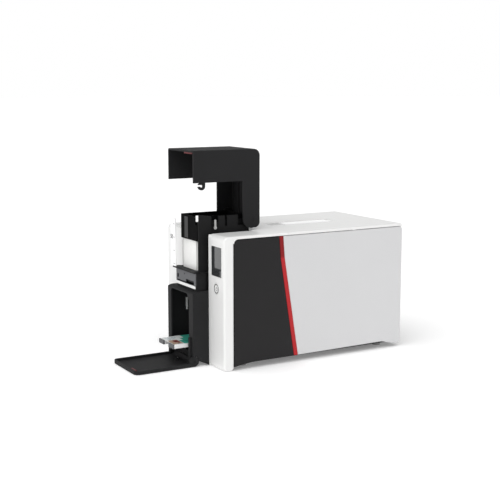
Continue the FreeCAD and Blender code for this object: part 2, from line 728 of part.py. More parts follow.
def hopper_box():
    """Black output hopper: open at the front, with tray ribs, door lugs and a slot in its left wall."""
    piece = Piece("hopper_box")
    outline = [
        ("hopper_front_y", DOOR_HINGE_Z),
        ("hopper_back_y", DOOR_HINGE_Z),
        ("hopper_back_y", "hopper_top_z"),
        ("hopper_front_y * brow_share", "hopper_top_z"),
        ("hopper_front_y", "hopper_brow_z"),
    ]
    piece.prism("X", outline, (COLUMN_L, COLUMN_R))
    piece.rounded("hopper_corner", "Y", x="min", z="max")
    inner_y = ("hopper_front_y + hopper_wall", "hopper_back_y - hopper_wall")
    inner_z = ("hopper_floor_z + hopper_wall", "hopper_brow_z - hopper_wall")
    piece.block((HOPPER_IN_L, HOPPER_IN_R), inner_y, inner_z, cut=True)
    below = (minus(DOOR_HINGE_Z, "cut_overrun"), "hopper_floor_z")
    under_y = ("hopper_front_y - cut_overrun", inner_y[1])
    piece.block((HOPPER_IN_L, HOPPER_IN_R), under_y, below, cut=True)
    left = f"({COLUMN_L} + mouth_left)"
    right = f"({COLUMN_R} - mouth_right)"
    mouth = [
        (left, "hopper_floor_z - cut_overrun"),
        (right, "hopper_floor_z - cut_overrun"),
        (right, "mouth_top_z - mouth_chamfer * mouth_slope_share"),
        (f"{right} - mouth_chamfer", "mouth_top_z"),
        (f"{left} + mouth_chamfer / 2", "mouth_top_z"),
        (left, "mouth_top_z - mouth_chamfer / 2"),
    ]
    front_wall = wider("hopper_front_y", "hopper_front_y + hopper_wall", "cut_overrun")
    piece.prism("Y", mouth, front_wall, cut=True)
    slot_x = (f"{right} - seam_gap", f"{HOPPER_IN_R} - door_lug - seam_gap * 2")
    slot_y = ("hopper_front_y - cut_overrun", "door_hinge_y + arm_top_z")
    slot_z = ("0", "arm_top_z + seam_gap")
    piece.block(slot_x, front_wall, slot_z, cut=True)
    floor_slot = wider(f"{HOPPER_IN_R} - arm_inset * 2 - seam_gap * 2", HOPPER_IN_R, "0")
    piece.block(floor_slot, slot_y, ("0", "hopper_floor_z + hopper_wall + cut_overrun"), cut=True)
    sweep = "door_knuckle + seam_gap"
    front_y = (minus("hopper_front_y", "cut_overrun"), plus("door_hinge_y", sweep))
    lower = ("0", "hopper_floor_z + hopper_wall + cut_overrun")
    piece.block((HOPPER_IN_L, HOPPER_IN_R), front_y, lower, cut=True)
    apron_z = ("door_bottom_z", "hopper_floor_z + hopper_wall / 2")
    piece.block((HOPPER_IN_L, floor_slot[0]), (front_y[1], f"{front_y[1]} + hopper_wall"), apron_z)
    ends = wider(COLUMN_L, COLUMN_R, "cut_overrun")
    hinge = ("door_hinge_y", DOOR_HINGE_Z)
    piece.rod("X", sweep, ends, hinge, cut=True)
    for x in (f"{CARD_L} + hopper_wall", f"{CARD_R} - hopper_wall * 2"):
        rib_z = ("hopper_floor_z + hopper_wall / 2", "tray_z - seat_gap")
        piece.block((x, f"{x} + hopper_wall"), (front_y[1], "hopper_back_y - hopper_wall / 2"), rib_z)
    lug_z = (f"{DOOR_HINGE_Z} - door_pin_radius * 2", f"{DOOR_HINGE_Z} + {sweep} + hopper_wall")
    lug_y = ("hopper_front_y + seat_gap", "door_hinge_y + door_pin_radius * 2")
    root_z = (f"{DOOR_HINGE_Z} + {sweep} + seat_gap", lug_z[1])
    for low, high, wall in (
        (f"{DOOR_IN_L} + seam_gap", f"{DOOR_IN_L} + seam_gap + door_lug", COLUMN_L),
        (f"{DOOR_IN_R} - seam_gap - door_lug", f"{DOOR_IN_R} - seam_gap", COLUMN_R),
    ):
        piece.block((low, high), lug_y, lug_z)
        root_x = (wall, high) if wall == COLUMN_L else (low, wall)
        piece.block(root_x, lug_y, root_z)
        piece.rod("X", "door_pin_radius + pin_clearance", wider(low, high, "seat_gap"), hinge, cut=True)
    slot_through = wider(COLUMN_L, HOPPER_IN_L, "cut_overrun")
    slot_span = ("side_slot_y", "side_slot_y + side_slot_width")
    piece.block(slot_through, slot_span, ("side_slot_z", "side_slot_z + side_slot_height"), cut=True)
    skirt = [
        ("hopper_back_y", "hopper_foot_z"),
        ("hopper_back_y", f"{DOOR_HINGE_Z} + seat_gap"),
        (f"door_hinge_y + {sweep}", f"{DOOR_HINGE_Z} + seat_gap"),
        (f"door_hinge_y + {sweep}", DOOR_HINGE_Z),
        ("0", "door_bottom_z"),
        ("front_strip", "door_bottom_z"),
        ("front_strip", "hopper_foot_z"),
    ]
    for span in ((COLUMN_L, HOPPER_IN_L), (HOPPER_IN_R, COLUMN_R)):
        piece.prism("X", skirt, span)


def tray():
    """White output tray with its U-shaped notch, its end pads and the printed card on it."""
    piece = Piece("output_tray")
    back = f"({TRAY_FRONT} + tray_pad + card_length)"
    height = ("tray_z", "tray_z + tray_thick")
    piece.block((CARD_L, CARD_R), (plus(TRAY_FRONT, "tray_pad"), back), height)
    notch_x = ("card_shift - tray_notch / 2", "card_shift + tray_notch / 2")
    notch_y = (minus(TRAY_FRONT, "cut_overrun"), plus(TRAY_FRONT, "tray_notch_depth"))
    through = wider(*height, "cut_overrun")
    piece.block(notch_x, notch_y, through, cut=True)
    piece.rod("Z", "tray_notch / 2", through, ("card_shift", notch_y[1]), cut=True)
    pads = Piece("tray_pads")
    pad_z = ("tray_z", "tray_z + tray_thick + card_thick")
    for x in ((CARD_L, notch_x[0]), (notch_x[1], CARD_R)):
        pads.block(x, (TRAY_FRONT, plus(TRAY_FRONT, "tray_pad")), pad_z)
    card = Piece("printed_card")
    card_y = (plus(TRAY_FRONT, "tray_pad"), back)
    card.block((CARD_L, CARD_R), card_y, ("tray_z + tray_thick", pad_z[1]))
    for x_end in ("min", "max"):
        for y_end in ("min", "max"):
            card.rounded("card_length * card_corner_share", "Z", x=x_end, y=y_end)


def hopper_door():
    """Black dished door, open on the table and curled up round its hinge, with arm and catch."""
    piece = Piece("hopper_door")
    top = "(door_bottom_z + door_rim)"
    length = ("-door_reach", "door_hinge_y")
    piece.block((COLUMN_L, COLUMN_R), length, ("door_bottom_z", top))
    piece.rounded("door_corner", "Z", x="min", y="min").rounded("door_corner", "Z", x="max", y="min")
    hinge = ("door_hinge_y", DOOR_HINGE_Z)
    inner_x = (DOOR_IN_L, DOOR_IN_R)
    piece.rod("X", "door_knuckle", (COLUMN_L, COLUMN_R), hinge)
    around_y = wider(hinge[0], hinge[0], "door_knuckle + cut_overrun")
    piece.block(inner_x, around_y, (hinge[1], f"{hinge[1]} + door_knuckle + cut_overrun"), cut=True)
    piece.rod("X", "door_knuckle - door_floor", inner_x, hinge, cut=True)
    dish_z = ("door_bottom_z + door_floor", f"{hinge[1]} + cut_overrun")
    piece.block(inner_x, ("door_wall - door_reach", hinge[0]), dish_z, cut=True)
    shaved_y = ("door_hinge_y - door_knuckle - cut_overrun", "hopper_front_y")
    shaved_z = (top, f"{DOOR_HINGE_Z} + door_knuckle + cut_overrun")
    piece.block(wider(COLUMN_L, DOOR_IN_L, "seam_gap"), shaved_y, shaved_z, cut=True)
    arm_x = (f"{DOOR_IN_R} - arm_inset - arm_thick / 2", f"{DOOR_IN_R} - arm_inset + arm_thick / 2")
    arm_y = ("door_hinge_y - arm_width + door_knuckle / 4", "door_hinge_y + door_knuckle / 4")
    piece.block(arm_x, arm_y, ("door_bottom_z", "arm_top_z"))
    middle = "(door_hinge_y - arm_width / 2 + door_knuckle / 4)"
    pin_z = "(arm_top_z - arm_width / 2)"
    piece.rod("X", "arm_pin_radius", (arm_x[0], f"{arm_x[1]} + cut_overrun"), (middle, pin_z), cut=True)
    pins = Piece("door_pins")
    spans = (
        (f"{COLUMN_L} + seam_gap", f"{DOOR_IN_L} + seam_gap + door_lug"),
        (f"{DOOR_IN_R} - seam_gap - door_lug", f"{COLUMN_R} - seam_gap"),
    )
    for span in spans:
        piece.rod("X", "door_pin_radius", wider(*span, "seam_gap"), hinge, cut=True)
        pins.rod("X", "door_pin_radius", span, hinge)
    pins.rod("X", "arm_pin_radius", (arm_x[0], f"{arm_x[1]} + seam_gap"), (middle, pin_z))
    floor_z = "door_bottom_z + door_floor"
    piece.rod("Z", "catch_radius", ("door_bottom_z + door_floor / 2", top), ("column_shift", "catch_y"))
    accent = Piece("door_accent")
    middle_x = COLUMN_R + " - door_wall - accent_width / 2"
    accent_y = ("door_wall - door_reach", "door_wall - door_reach + accent_depth")
    accent.block(wider(middle_x, middle_x, "door_mark / 2"), accent_y, (floor_z, top))


def feeder_frame():
    """Black feeder: near and far wall, floor with its lip, rear wall, card ribs and hinge bosses."""
    piece = Piece("feeder_frame")
    rear = FEEDER_REAR
    low = "hopper_top_z"
    near = [
        ("slot_back_y", low),
        (rear, low),
        (rear, "cover_hinge_z"),
        ("cover_hinge_y - hinge_boss_radius", "lobe_notch_z"),
        ("gauge_y * lobe_end_share", "lobe_notch_z"),
        ("gauge_y * lobe_end_share", "lobe_top_z"),
        ("gauge_y * lobe_start_share", "lobe_top_z"),
        ("gauge_y * lobe_start_share", "lobe_notch_z"),
        ("gauge_y * step_end_share", "lobe_notch_z"),
        ("gauge_y * step_end_share", "lobe_top_z"),
        ("gauge_y * step_start_share", "lobe_top_z"),
        ("gauge_y + gauge_width * 2", "lobe_notch_z"),
        ("gauge_y - gauge_width * 2", "lobe_notch_z"),
        ("gauge_y - gauge_width * 2", "lobe_top_z"),
        ("feeder_front_y", "feeder_top_z"),
        ("feeder_front_y", STACK_Z),
        ("slot_back_y", STACK_Z),
    ]
    piece.prism("X", near, (minus(WALL_R, "feeder_wall"), WALL_R))
    far = [
        ("seam_gap", low),
        (rear, low),
        (rear, "cover_hinge_z"),
        ("cover_hinge_y - hinge_boss_radius", "feeder_low_z"),
        ("seam_gap", "feeder_low_z"),
    ]
    piece.prism("X", far, (WALL_L, plus(WALL_L, "feeder_wall")))
    floor_z = ("card_path_z - feeder_floor", "card_path_z")
    inner = (plus(WALL_L, "feeder_wall / 2"), minus(WALL_R, "feeder_wall / 2"))
    piece.block(inner, ("slot_back_y", rear), floor_z)
    tongue_y = ("slot_back_y", "infeed_y - column_step - roller_radius - seam_gap")
    piece.block((CARD_L, CARD_R), tongue_y, floor_z)
    rear_wall = (minus(rear, "feeder_back"), rear)
    piece.block(inner, rear_wall, (low, "feeder_low_z"))
    card_gap = (minus(CARD_L, "seam_gap"), plus(CARD_R, "seam_gap"))
    gap_z = ("card_path_z", f"{STACK_Z} + card_thick * 3")
    piece.block(card_gap, wider(*rear_wall, "cut_overrun"), gap_z, cut=True)
    guide_y = ("seam_gap", rear_wall[1])
    guide_z = ("card_path_z - feeder_floor / 2", "feeder_low_z")
    left_rib = (f"{CARD_L} - seam_gap - guide_rib", f"{CARD_L} - seam_gap")
    right_rib = (f"{CARD_R} + seam_gap", f"{CARD_R} + seam_gap + guide_rib")
    piece.block(left_rib, guide_y, guide_z).block(right_rib, guide_y, guide_z)
    hinge = ("cover_hinge_y", "cover_hinge_z")
    piece.rod("X", "hinge_boss_radius", (BOSS_L, plus(WALL_L, "feeder_wall")), hinge)
    piece.rod("X", "hinge_boss_radius", (minus(WALL_R, "feeder_wall"), BOSS_R), hinge)
    ends = wider(COLUMN_L, COLUMN_R, "cut_overrun")
    piece.rod("X", "hinge_pin_radius + pin_clearance", ends, hinge, cut=True)
    pick_slot = wider("card_shift", "card_shift", "pick_width / 2 + seam_gap")
    pick_gap = wider("pick_y", "pick_y", "pick_radius + seam_gap")
    piece.block(pick_slot, pick_gap, wider(*floor_z, "cut_overrun"), cut=True)
    pick_axis = ("pick_y", "card_path_z + card_thick / 2 - pick_radius")
    piece.rod("X", "shaft_radius + pin_clearance", ends, pick_axis, cut=True)
    guide_x = (WALL_R, f"{WALL_R} + seam_gap + gauge_width / 2")
    guide_z = wider("lobe_notch_z", "lobe_notch_z", "gauge_guide")
    room = "(gauge_knob + seam_gap)"
    for low, high in (
        (f"gauge_y - {room} - gauge_width / 2", f"gauge_y - {room}"),
        (f"gauge_y + {room}", f"gauge_y + {room} + gauge_width / 2"),
    ):
        piece.block(guide_x, (low, high), guide_z)
    under_lip = "card_path_z - lip_sheet"
    lip_x = ("slot_left_x - lip_overhang", BOSS_R)
    lip_y = ("slot_front_y - lip_reach", "stack_front_y - seam_gap")
    piece.block(lip_x, lip_y, (under_lip, "card_path_z + lip_thick - seat_gap"))
    sheet_y = ("slot_front_y", "slot_back_y + feeder_floor")
    piece.block((inner[0], BOSS_R), sheet_y, (under_lip, "card_path_z"))
    plate = Piece("scale_plate")
    plate_x = (plus(COVER_IN_L, "seam_gap"), CARD_L)
    plate_y = ("scale_plate_y", "scale_plate_y + scale_plate_thick")
    plate.block(plate_x, plate_y, (plus("card_path_z", "lip_thick - seat_gap"), "feeder_low_z"))
    plate.rounded("case_round / 2", "Y", x="min", z="max")
    pick = Piece("pick_roller")
    sleeve = wider("card_shift", "card_shift", "pick_width / 2")
    pick.rod("X", "pick_radius", sleeve, pick_axis)
    pick.rod("X", "shaft_radius", sleeve, pick_axis, cut=True)
    shaft = Piece("pick_shaft")
    shaft.rod("X", "shaft_radius", (WALL_L, WALL_R), pick_axis)


def cards():
    """Blank cards in the feeder and the black weight that presses them down."""
    stack = Piece("card_stack")
    back = "(stack_front_y + card_length)"
    stack.block((CARD_L, CARD_R), ("stack_front_y", back), (STACK_Z, STACK_TOP))
    for x_end in ("min", "max"):
        for y_end in ("min", "max"):
            stack.rounded("card_length * card_corner_share", "Z", x=x_end, y=y_end)
    weight = Piece("card_weight")
    bottom = f"({STACK_TOP} + seat_gap)"
    top = f"{bottom} + weight_height"
    front = "(stack_front_y - weight_lead)"
    weight.block((CARD_L, CARD_R), (front, back), (bottom, top))
    weight.rounded("card_length * card_corner_share", "Z", x="min", y="min")
    tab_z = (bottom, f"{top} - weight_notch")
    tab_x = (minus(CARD_R, "weight_lead"), plus(CARD_R, "weight_tab"))
    weight.block(tab_x, (front, plus(front, "weight_tab_length")), tab_z)
    hollow_x = wider(CARD_L, CARD_R, "-feeder_wall")
    hollow_y = (plus(front, "feeder_wall"), minus(back, "feeder_wall"))
    weight.block(hollow_x, hollow_y, (plus(bottom, "feeder_wall"), f"{top} + cut_overrun"), cut=True)


def gauge():
    """Light lever on the near wall that sets the card thickness."""
    piece = Piece("gauge_lever")
    x = (f"{WALL_R} + seam_gap", f"{WALL_R} + seam_gap + gauge_width / 2")
    stem = ("gauge_top_z - gauge_height", "gauge_top_z")
    piece.block(x, wider("gauge_y", "gauge_y", "gauge_width / 2"), stem)
    piece.rod("X", "gauge_knob", x, ("gauge_y", "gauge_top_z - gauge_height"))


def slot_block():
    """Block with the single-card slot, its grey face, white guide strip and roller."""
    piece = Piece("slot_block")
    right = BOSS_R
    base = "(hopper_top_z + slot_base)"
    body_y = ("slot_front_y + slot_face", "slot_back_y")
    piece.block(("slot_left_x", right), body_y, ("hopper_top_z", "card_path_z - lip_sheet - seat_gap"))
    slot_x = (CARD_L, CARD_R)
    slot_low = f"{base} + guide_strip + seam_gap"
    slot_z = (slot_low, f"{slot_low} + slot_height")
    hollow_y = wider(*body_y, "cut_overrun")
    piece.block(slot_x, hollow_y, slot_z, cut=True)
    window_x = ("window_left_x", "window_left_x + window_width")
    window_z = (slot_z[0], f"{slot_z[0]} + window_height")
    roller_y = "(slot_front_y + slot_face + slot_roller_radius + seam_gap)"
    roller_z = f"({slot_z[1]} + slot_roller_radius - card_thick)"
    piece.rod("X", "slot_roller_radius + seam_gap", window_x, (roller_y, roller_z), cut=True)
    throat_z = (slot_z[0], f"{roller_z} + slot_roller_radius / 2")
    piece.block(window_x, (hollow_y[0], roller_y), throat_z, cut=True)
    axle_x = wider(*window_x, "slot_face * 2")
    piece.rod("X", "slot_roller_radius / 3 + pin_clearance", axle_x, (roller_y, roller_z), cut=True)
    roller = Piece("slot_roller")
    roller.rod("X", "slot_roller_radius", wider(*window_x, "-seam_gap"), (roller_y, roller_z))
    axle = wider(*window_x, "slot_face * 2 - seam_gap")
    roller.rod("X", "slot_roller_radius / 3", axle, (roller_y, roller_z))
    face = Piece("slot_face_plate")
    face_y = ("slot_front_y", "slot_front_y + slot_face")
    face_z = (f"{base} + guide_strip", "card_path_z - lip_sheet - seat_gap")
    face.block(("slot_left_x", right), face_y, face_z)
    face.block(slot_x, wider(*face_y, "cut_overrun"), (slot_z[0], slot_z[1]), cut=True)
    face.block(window_x, wider(*face_y, "cut_overrun"), window_z, cut=True)
    peep_x = ("slot_left_x + slot_face * 2", "slot_left_x + slot_face * 2 + peep_size")
    peep_z = (f"{slot_z[1]} + slot_face * 2", f"{slot_z[1]} + slot_face * 2 + peep_size")
    face.block(peep_x, wider(*face_y, "cut_overrun"), peep_z, cut=True)
    strip = Piece("card_guide_strip")
    strip_y = ("slot_front_y - slot_face / 2", "slot_front_y + slot_face")
    strip_x = ("slot_left_x + slot_face", f"{right} - slot_face")
    strip.block(strip_x, strip_y, (base, f"{base} + guide_strip"))


def feeder_cover():
    """Black L-shaped cover, tilted open about its rear lower corner, with hook, pins and red mark."""
    piece = Piece("feeder_cover")
    box_low = f"({COVER_TOP} - cover_box)"
    leg_low = "(cover_hinge_z - cover_back)"
    leg_front = f"({COVER_REAR} - cover_leg)"
    outline = [
        (COVER_FRONT, box_low),
        (leg_front, box_low),
        (leg_front, leg_low),
        (COVER_REAR, leg_low),
        (COVER_REAR, COVER_TOP),
        (COVER_FRONT, COVER_TOP),
    ]
    piece.prism("X", outline, (COLUMN_L, COLUMN_R))
    piece.rounded("cover_round", "X", y="max", z="max")
    piece.rounded("cover_heel_round", "X", y="max", z="min")
    piece.rounded("cover_edge_round", "Y", x="min", z="max")
    piece.rounded("cover_edge_round", "Y", x="max", z="max")
    toe = (f"{leg_front} + cover_back", "cover_hinge_z")
    ends = wider(COLUMN_L, COLUMN_R, "cut_overrun")
    toe_y = (f"{leg_front} - cut_overrun", toe[0])
    piece.block(ends, toe_y, (f"{leg_low} - cut_overrun", toe[1]), cut=True)
    piece.rod("X", "cover_back", (COLUMN_L, COLUMN_R), toe)
    inner_x = (COVER_IN_L, COVER_IN_R)
    inner_y = (f"{COVER_FRONT} - cut_overrun", f"{COVER_REAR} - cover_wall")
    piece.block(inner_x, inner_y, (f"{box_low} - cut_overrun", f"{COVER_TOP} - cover_wall"), cut=True)
    leg_y = (f"{leg_front} - cut_overrun", f"{COVER_REAR} - cover_wall")
    piece.block(inner_x, leg_y, (f"{leg_low} + cover_wall", f"{box_low} + cut_overrun"), cut=True)
    heel_y = (f"{leg_front} - cut_overrun", "cover_hinge_y - cover_wall")
    piece.block(inner_x, heel_y, (f"{leg_low} - cut_overrun", f"{leg_low} + cover_wall * 2"), cut=True)
    pins = Piece("cover_hinge_pins")
    hinge = ("cover_hinge_y", "cover_hinge_z")
    left_pin = (f"{COLUMN_L} + seam_gap", f"{WALL_L} + feeder_wall")
    right_pin = (f"{WALL_R} - feeder_wall", f"{COLUMN_R} - seam_gap")
    for span in (left_pin, right_pin):
        piece.rod("X", "hinge_pin_radius", wider(*span, "seam_gap"), hinge, cut=True)
        pins.rod("X", "hinge_pin_radius", span, hinge)
    hook_x = (f"{COVER_IN_R} - hook_thick", COVER_IN_R)
    hook_axis = ("hook_y", BOTTOM_HOOK_Z)
    stem = ("hook_y", "hook_y + hook_radius")
    piece.rod("X", "hook_radius", hook_x, hook_axis)
    piece.block(hook_x, stem, (BOTTOM_HOOK_Z, f"{box_low} + hook_radius"))
    root = (box_low, f"{box_low} + hook_radius")
    piece.block(wider(*hook_x, "seam_gap / 2"), wider(*stem, "seam_gap / 2"), root)
    hook_through = (f"{COVER_IN_R} - hook_thick * 2", COVER_IN_R)
    piece.rod("X", "hook_hole", hook_through, hook_axis, cut=True)
    mouth_y = ("hook_y - hook_radius * 2", "hook_y")
    mouth_z = (f"{BOTTOM_HOOK_Z} - hook_hole / 4", f"{BOTTOM_HOOK_Z} + hook_hole")
    piece.block(hook_through, mouth_y, mouth_z, cut=True)
    accent = Piece("cover_accent")
    accent_end = f"{COVER_IN_R} - accent_margin"
    accent_x = (f"{accent_end} - accent_width", accent_end)
    accent_z = (f"{COVER_TOP} - cover_wall - accent_height", f"{COVER_TOP} - cover_wall")
    accent.block(accent_x, (COVER_FRONT, plus(COVER_FRONT, "accent_depth")), accent_z)


def frame_plates():
    """Steel side plates that carry the rollers, with a bore for each shaft."""
    height = (BASE_TOP, "plate_top_z")
    length = ("plate_front_y", "plate_back_y")
    driven = ("infeed_y", "platen_y", "exit_y", "motor_y")
    bores = [(place, ROLLER_Z, "shaft_radius") for place in driven]
    bores += [(place, PINCH_Z, "shaft_radius / 2") for place in ("infeed_y", "exit_y")]
    bores.append(("clean_y", CLEAN_Z, "shaft_radius / 2"))
    for label, span in (
        ("left_frame_plate", (f"{PLATE_L} - plate_thick", PLATE_L)),
        ("right_frame_plate", (PLATE_R, f"{PLATE_R} + plate_thick")),
    ):
        piece = Piece(label).block(span, length, height)
        for place, z, radius in bores:
            hole = wider(*span, "cut_overrun")
            piece.rod("X", f"{radius} + pin_clearance", hole, (place, z), cut=True)
        window = ("infeed_y + roller_radius * 2", "platen_y - roller_radius * 2")
        window_z = (f"{BASE_TOP} + base_rib", "plate_top_z / 2")
        piece.block(wider(*span, "cut_overrun"), window, window_z, cut=True)


def rollers():
    """Rubber rollers on steel shafts, each with a belt pulley, and the free rollers above them."""
    face = (f"{CARD_L} - roller_margin", f"{CARD_R} + roller_margin")
    shaft = (f"{PLATE_L} - plate_thick - seam_gap", f"{PULLEY_X} + pulley_width + seam_gap")
    for name, place in (("infeed", "infeed_y"), ("platen", "platen_y"), ("exit", "exit_y")):
        axis = (place, ROLLER_Z)
        sleeve = Piece(f"{name}_roller").rod("X", "roller_radius", face, axis)
        sleeve.rod("X", "shaft_radius", wider(*face, "cut_overrun"), axis, cut=True)
        turned = Piece(f"{name}_shaft").rod("X", "shaft_radius", shaft, axis)
        turned.rod("X", "pulley_radius", PULLEY_SPAN, axis)
    for name, place, z, radius in (
        ("infeed_pinch_roller", "infeed_y", PINCH_Z, "pinch_radius"),
        ("exit_pinch_roller", "exit_y", PINCH_Z, "pinch_radius"),
        ("cleaning_roller", "clean_y", CLEAN_Z, "clean_radius"),
    ):
        piece = Piece(name).rod("X", radius, face, (place, z))
        short = (f"{PLATE_L} - plate_thick", f"{PLATE_R} + plate_thick")
        piece.rod("X", "shaft_radius / 2", short, (place, z))


def belt_drive():
    """Belt over four equal pulleys, and the motor that turns the last of them."""
    belt = Piece("drive_belt")
    belt_x = wider(*PULLEY_SPAN, "-belt_thick / 2")
    outer = "(pulley_radius + seat_gap / 2 + belt_thick)"
    inner = "(pulley_radius + seat_gap / 2)"
    for radius, x, cut in ((outer, belt_x, False), (inner, wider(*belt_x, "cut_overrun"), True)):
        belt.block(x, ("infeed_y", "motor_y"), wider(ROLLER_Z, ROLLER_Z, radius), cut=cut)
        for place in ("infeed_y", "motor_y"):
            belt.rod("X", radius, x, (place, ROLLER_Z), cut=cut)
    motor = Piece("drive_motor")
    body_x = (f"{PLATE_R} - motor_length", PLATE_R)
    size_y = wider("motor_y", "motor_y", "motor_size / 2")
    size_z = wider(ROLLER_Z, ROLLER_Z, "motor_size / 2")
    motor.block(body_x, size_y, size_z)
    for y_end in ("min", "max"):
        for z_end in ("min", "max"):
            motor.rounded("case_round", "X", y=y_end, z=z_end)
    bore = (f"{PLATE_R} - motor_length / 2", f"{PLATE_R} + cut_overrun")
    motor.rod("X", "shaft_radius + pin_clearance", bore, ("motor_y", ROLLER_Z), cut=True)
    axle = (f"{PLATE_R} - motor_length / 2 + seam_gap", f"{PULLEY_X} + pulley_width + seam_gap")
    turned = Piece("motor_shaft").rod("X", "shaft_radius", axle, ("motor_y", ROLLER_Z))
    turned.rod("X", "pulley_radius", PULLEY_SPAN, ("motor_y", ROLLER_Z))


def ribbon():
    """Ribbon cassette with its two rolls and the film that runs between them under the print head."""
    wall_x = (
        (f"{PLATE_L} + seam_gap", f"{PLATE_L} + seam_gap + cassette_wall"),
        (f"{PLATE_R} - seam_gap - cassette_wall", f"{PLATE_R} - seam_gap"),
    )
    frame = Piece("ribbon_cassette")
    low = f"({FILM_Z} + pinch_radius * 2 + seam_gap * 2)"
    ends_y = ("takeup_y - takeup_radius - seam_gap * 2", "supply_y + supply_radius + seam_gap * 2")
    top = "(spool_z + spool_core * 2)"
    for span in wall_x:
        frame.block(span, ends_y, (low, top))
    for y in ((ends_y[0] + " - cassette_bar", ends_y[0]), (ends_y[1], ends_y[1] + " + cassette_bar")):
        frame.block((wall_x[0][0], wall_x[1][1]), y, ("spool_z", top))
    roll_x = (f"{CARD_L} - roller_margin", f"{CARD_R} + roller_margin")
    core_x = (wall_x[0][0], wall_x[1][1])
    for name, place, radius in (
        ("supply", "supply_y", "supply_radius"),
        ("takeup", "takeup_y", "takeup_radius"),
    ):
        axis = (place, "spool_z")
        frame.rod("X", "spool_core + pin_clearance", wider(*core_x, "cut_overrun"), axis, cut=True)
        Piece(f"{name}_spool").rod("X", radius, roll_x, axis).rod("X", "spool_core", core_x, axis)
    film = Piece("ribbon_film")
    run = "head_length * film_run_share"
    supply_x = f"(supply_y - supply_radius - seam_gap)"
    takeup_x = f"(takeup_y + takeup_radius + seam_gap)"
    lower = [
        (takeup_x, "spool_z"),
        (f"platen_y - {run}", FILM_Z),
        (f"platen_y + {run}", FILM_Z),
        (supply_x, "spool_z"),
    ]
    upper = [(place, plus(z, "film_thick * film_slant_share")) for place, z in reversed(lower)]
    upper[1] = (f"platen_y + {run}", plus(FILM_Z, "film_thick"))
    upper[2] = (f"platen_y - {run}", plus(FILM_Z, "film_thick"))
    film.prism("X", lower + upper, roll_x)


def print_head():
    """Print head with its heat sink, hung from the underside of the lid on two posts."""
    x = (CARD_L, CARD_R)
    head = Piece("print_head")
    edge_top = plus(HEAD_Z, "head_edge")
    head.block(x, wider("platen_y", "platen_y", "head_length / 2"), (edge_top, SINK_Z))
    head.block(x, wider("platen_y", "platen_y", "head_edge / 2"), (HEAD_Z, edge_top))
    sink = Piece("head_heat_sink")
    wide = wider("platen_y", "platen_y", "head_length")
    sink.block(x, wide, (SINK_Z, plus(SINK_Z, "sink_web")))
    fin_top = f"{SINK_Z} + sink_web + sink_height"
    for number in range(FIN_COUNT):
        share = number / (FIN_COUNT - 1)
        fin = f"platen_y - head_length + (head_length * 2 - sink_fin) * {share}"
        sink.block(x, (fin, f"{fin} + sink_fin"), (SINK_Z, fin_top))
    roof = "(body_top - shell_wall)"
    plate_z = (fin_top, f"{fin_top} + plate_thick")
    sink.block(x, wide, plate_z)
    for low in (CARD_L, f"{CARD_R} - head_post"):
        sink.block((low, f"{low} + head_post"), wide, (plate_z[0], roof))


def electronics():
    """Main circuit board on edge beside the left frame plate, with its parts."""
    board = Piece("main_board")
    length = ("mainboard_y", "mainboard_y + mainboard_length")
    span = (BOARD_X, f"{BOARD_X} + board_thick")
    board.block(span, length, (BASE_TOP, f"{BASE_TOP} + mainboard_height"))
    face = span[1]
    for y_share, z_share, size_share, depth_share in PART_SHARES:
        y = f"(mainboard_y + mainboard_length * {y_share})"
        z = f"({BASE_TOP} + mainboard_height * {z_share})"
        side = f"mainboard_height * {size_share}"
        depth = (face, f"{face} + mainboard_inset * {depth_share}")
        board.block(depth, (y, f"{y} + {side}"), (z, f"{z} + {side}"))


PART_SHARES = (
    (0.10, 0.60, 0.20, 0.25),
    (0.35, 0.25, 0.26, 0.18),
    (0.62, 0.62, 0.14, 0.80),
    (0.76, 0.62, 0.14, 0.80),
    (0.70, 0.15, 0.18, 0.30),
    (0.12, 0.15, 0.12, 0.55),
)

front_cover()
top_lid()
lid_hinge(rear_panel())
lid_button()
side_panels()
base_chassis()
display()
Piece.origin_y = f"{FRONT_SHIFT} + column_step"
hopper_box()
tray()
hopper_door()
feeder_frame()
cards()
gauge()
slot_block()
feeder_cover()
Piece.origin_y = FRONT_SHIFT
frame_plates()
rollers()
belt_drive()
ribbon()
print_head()
electronics()
doc.recompute()

for thing in doc.Objects:
    if "Invalid" in thing.State or "Error" in thing.State:
        raise RuntimeError(f"{thing.Name} ({thing.Label}) did not compute: {thing.State}")
for made in Piece.made:
    shape = made.body.Shape
    if shape.isNull() or not shape.isValid() or not shape.Solids:
        raise RuntimeError(f"{made.body.Label} has no valid solid")

os.makedirs("parts", exist_ok=True)
for made in Piece.made:
    made.body.Shape.exportStep(f"parts/{made.body.Label}.step")
print(f"wrote {len(Piece.made)} sub-parts")
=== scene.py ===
# %% [markdown]
# A desktop printer for plastic cards, dressed around its packed construction model.
# The construction holds every piece at its real size and place. This script never moves those
# pieces: it gives each one softened edges and the finish of its real material, and adds the
# small things that only the eye needs. Lengths are in metres, written as millimetres times MM,
# and a name that ends in mm or MM holds millimetres.

# %% load the frame
import bpy
import bmesh
import json
import math
from mathutils import Matrix, Vector

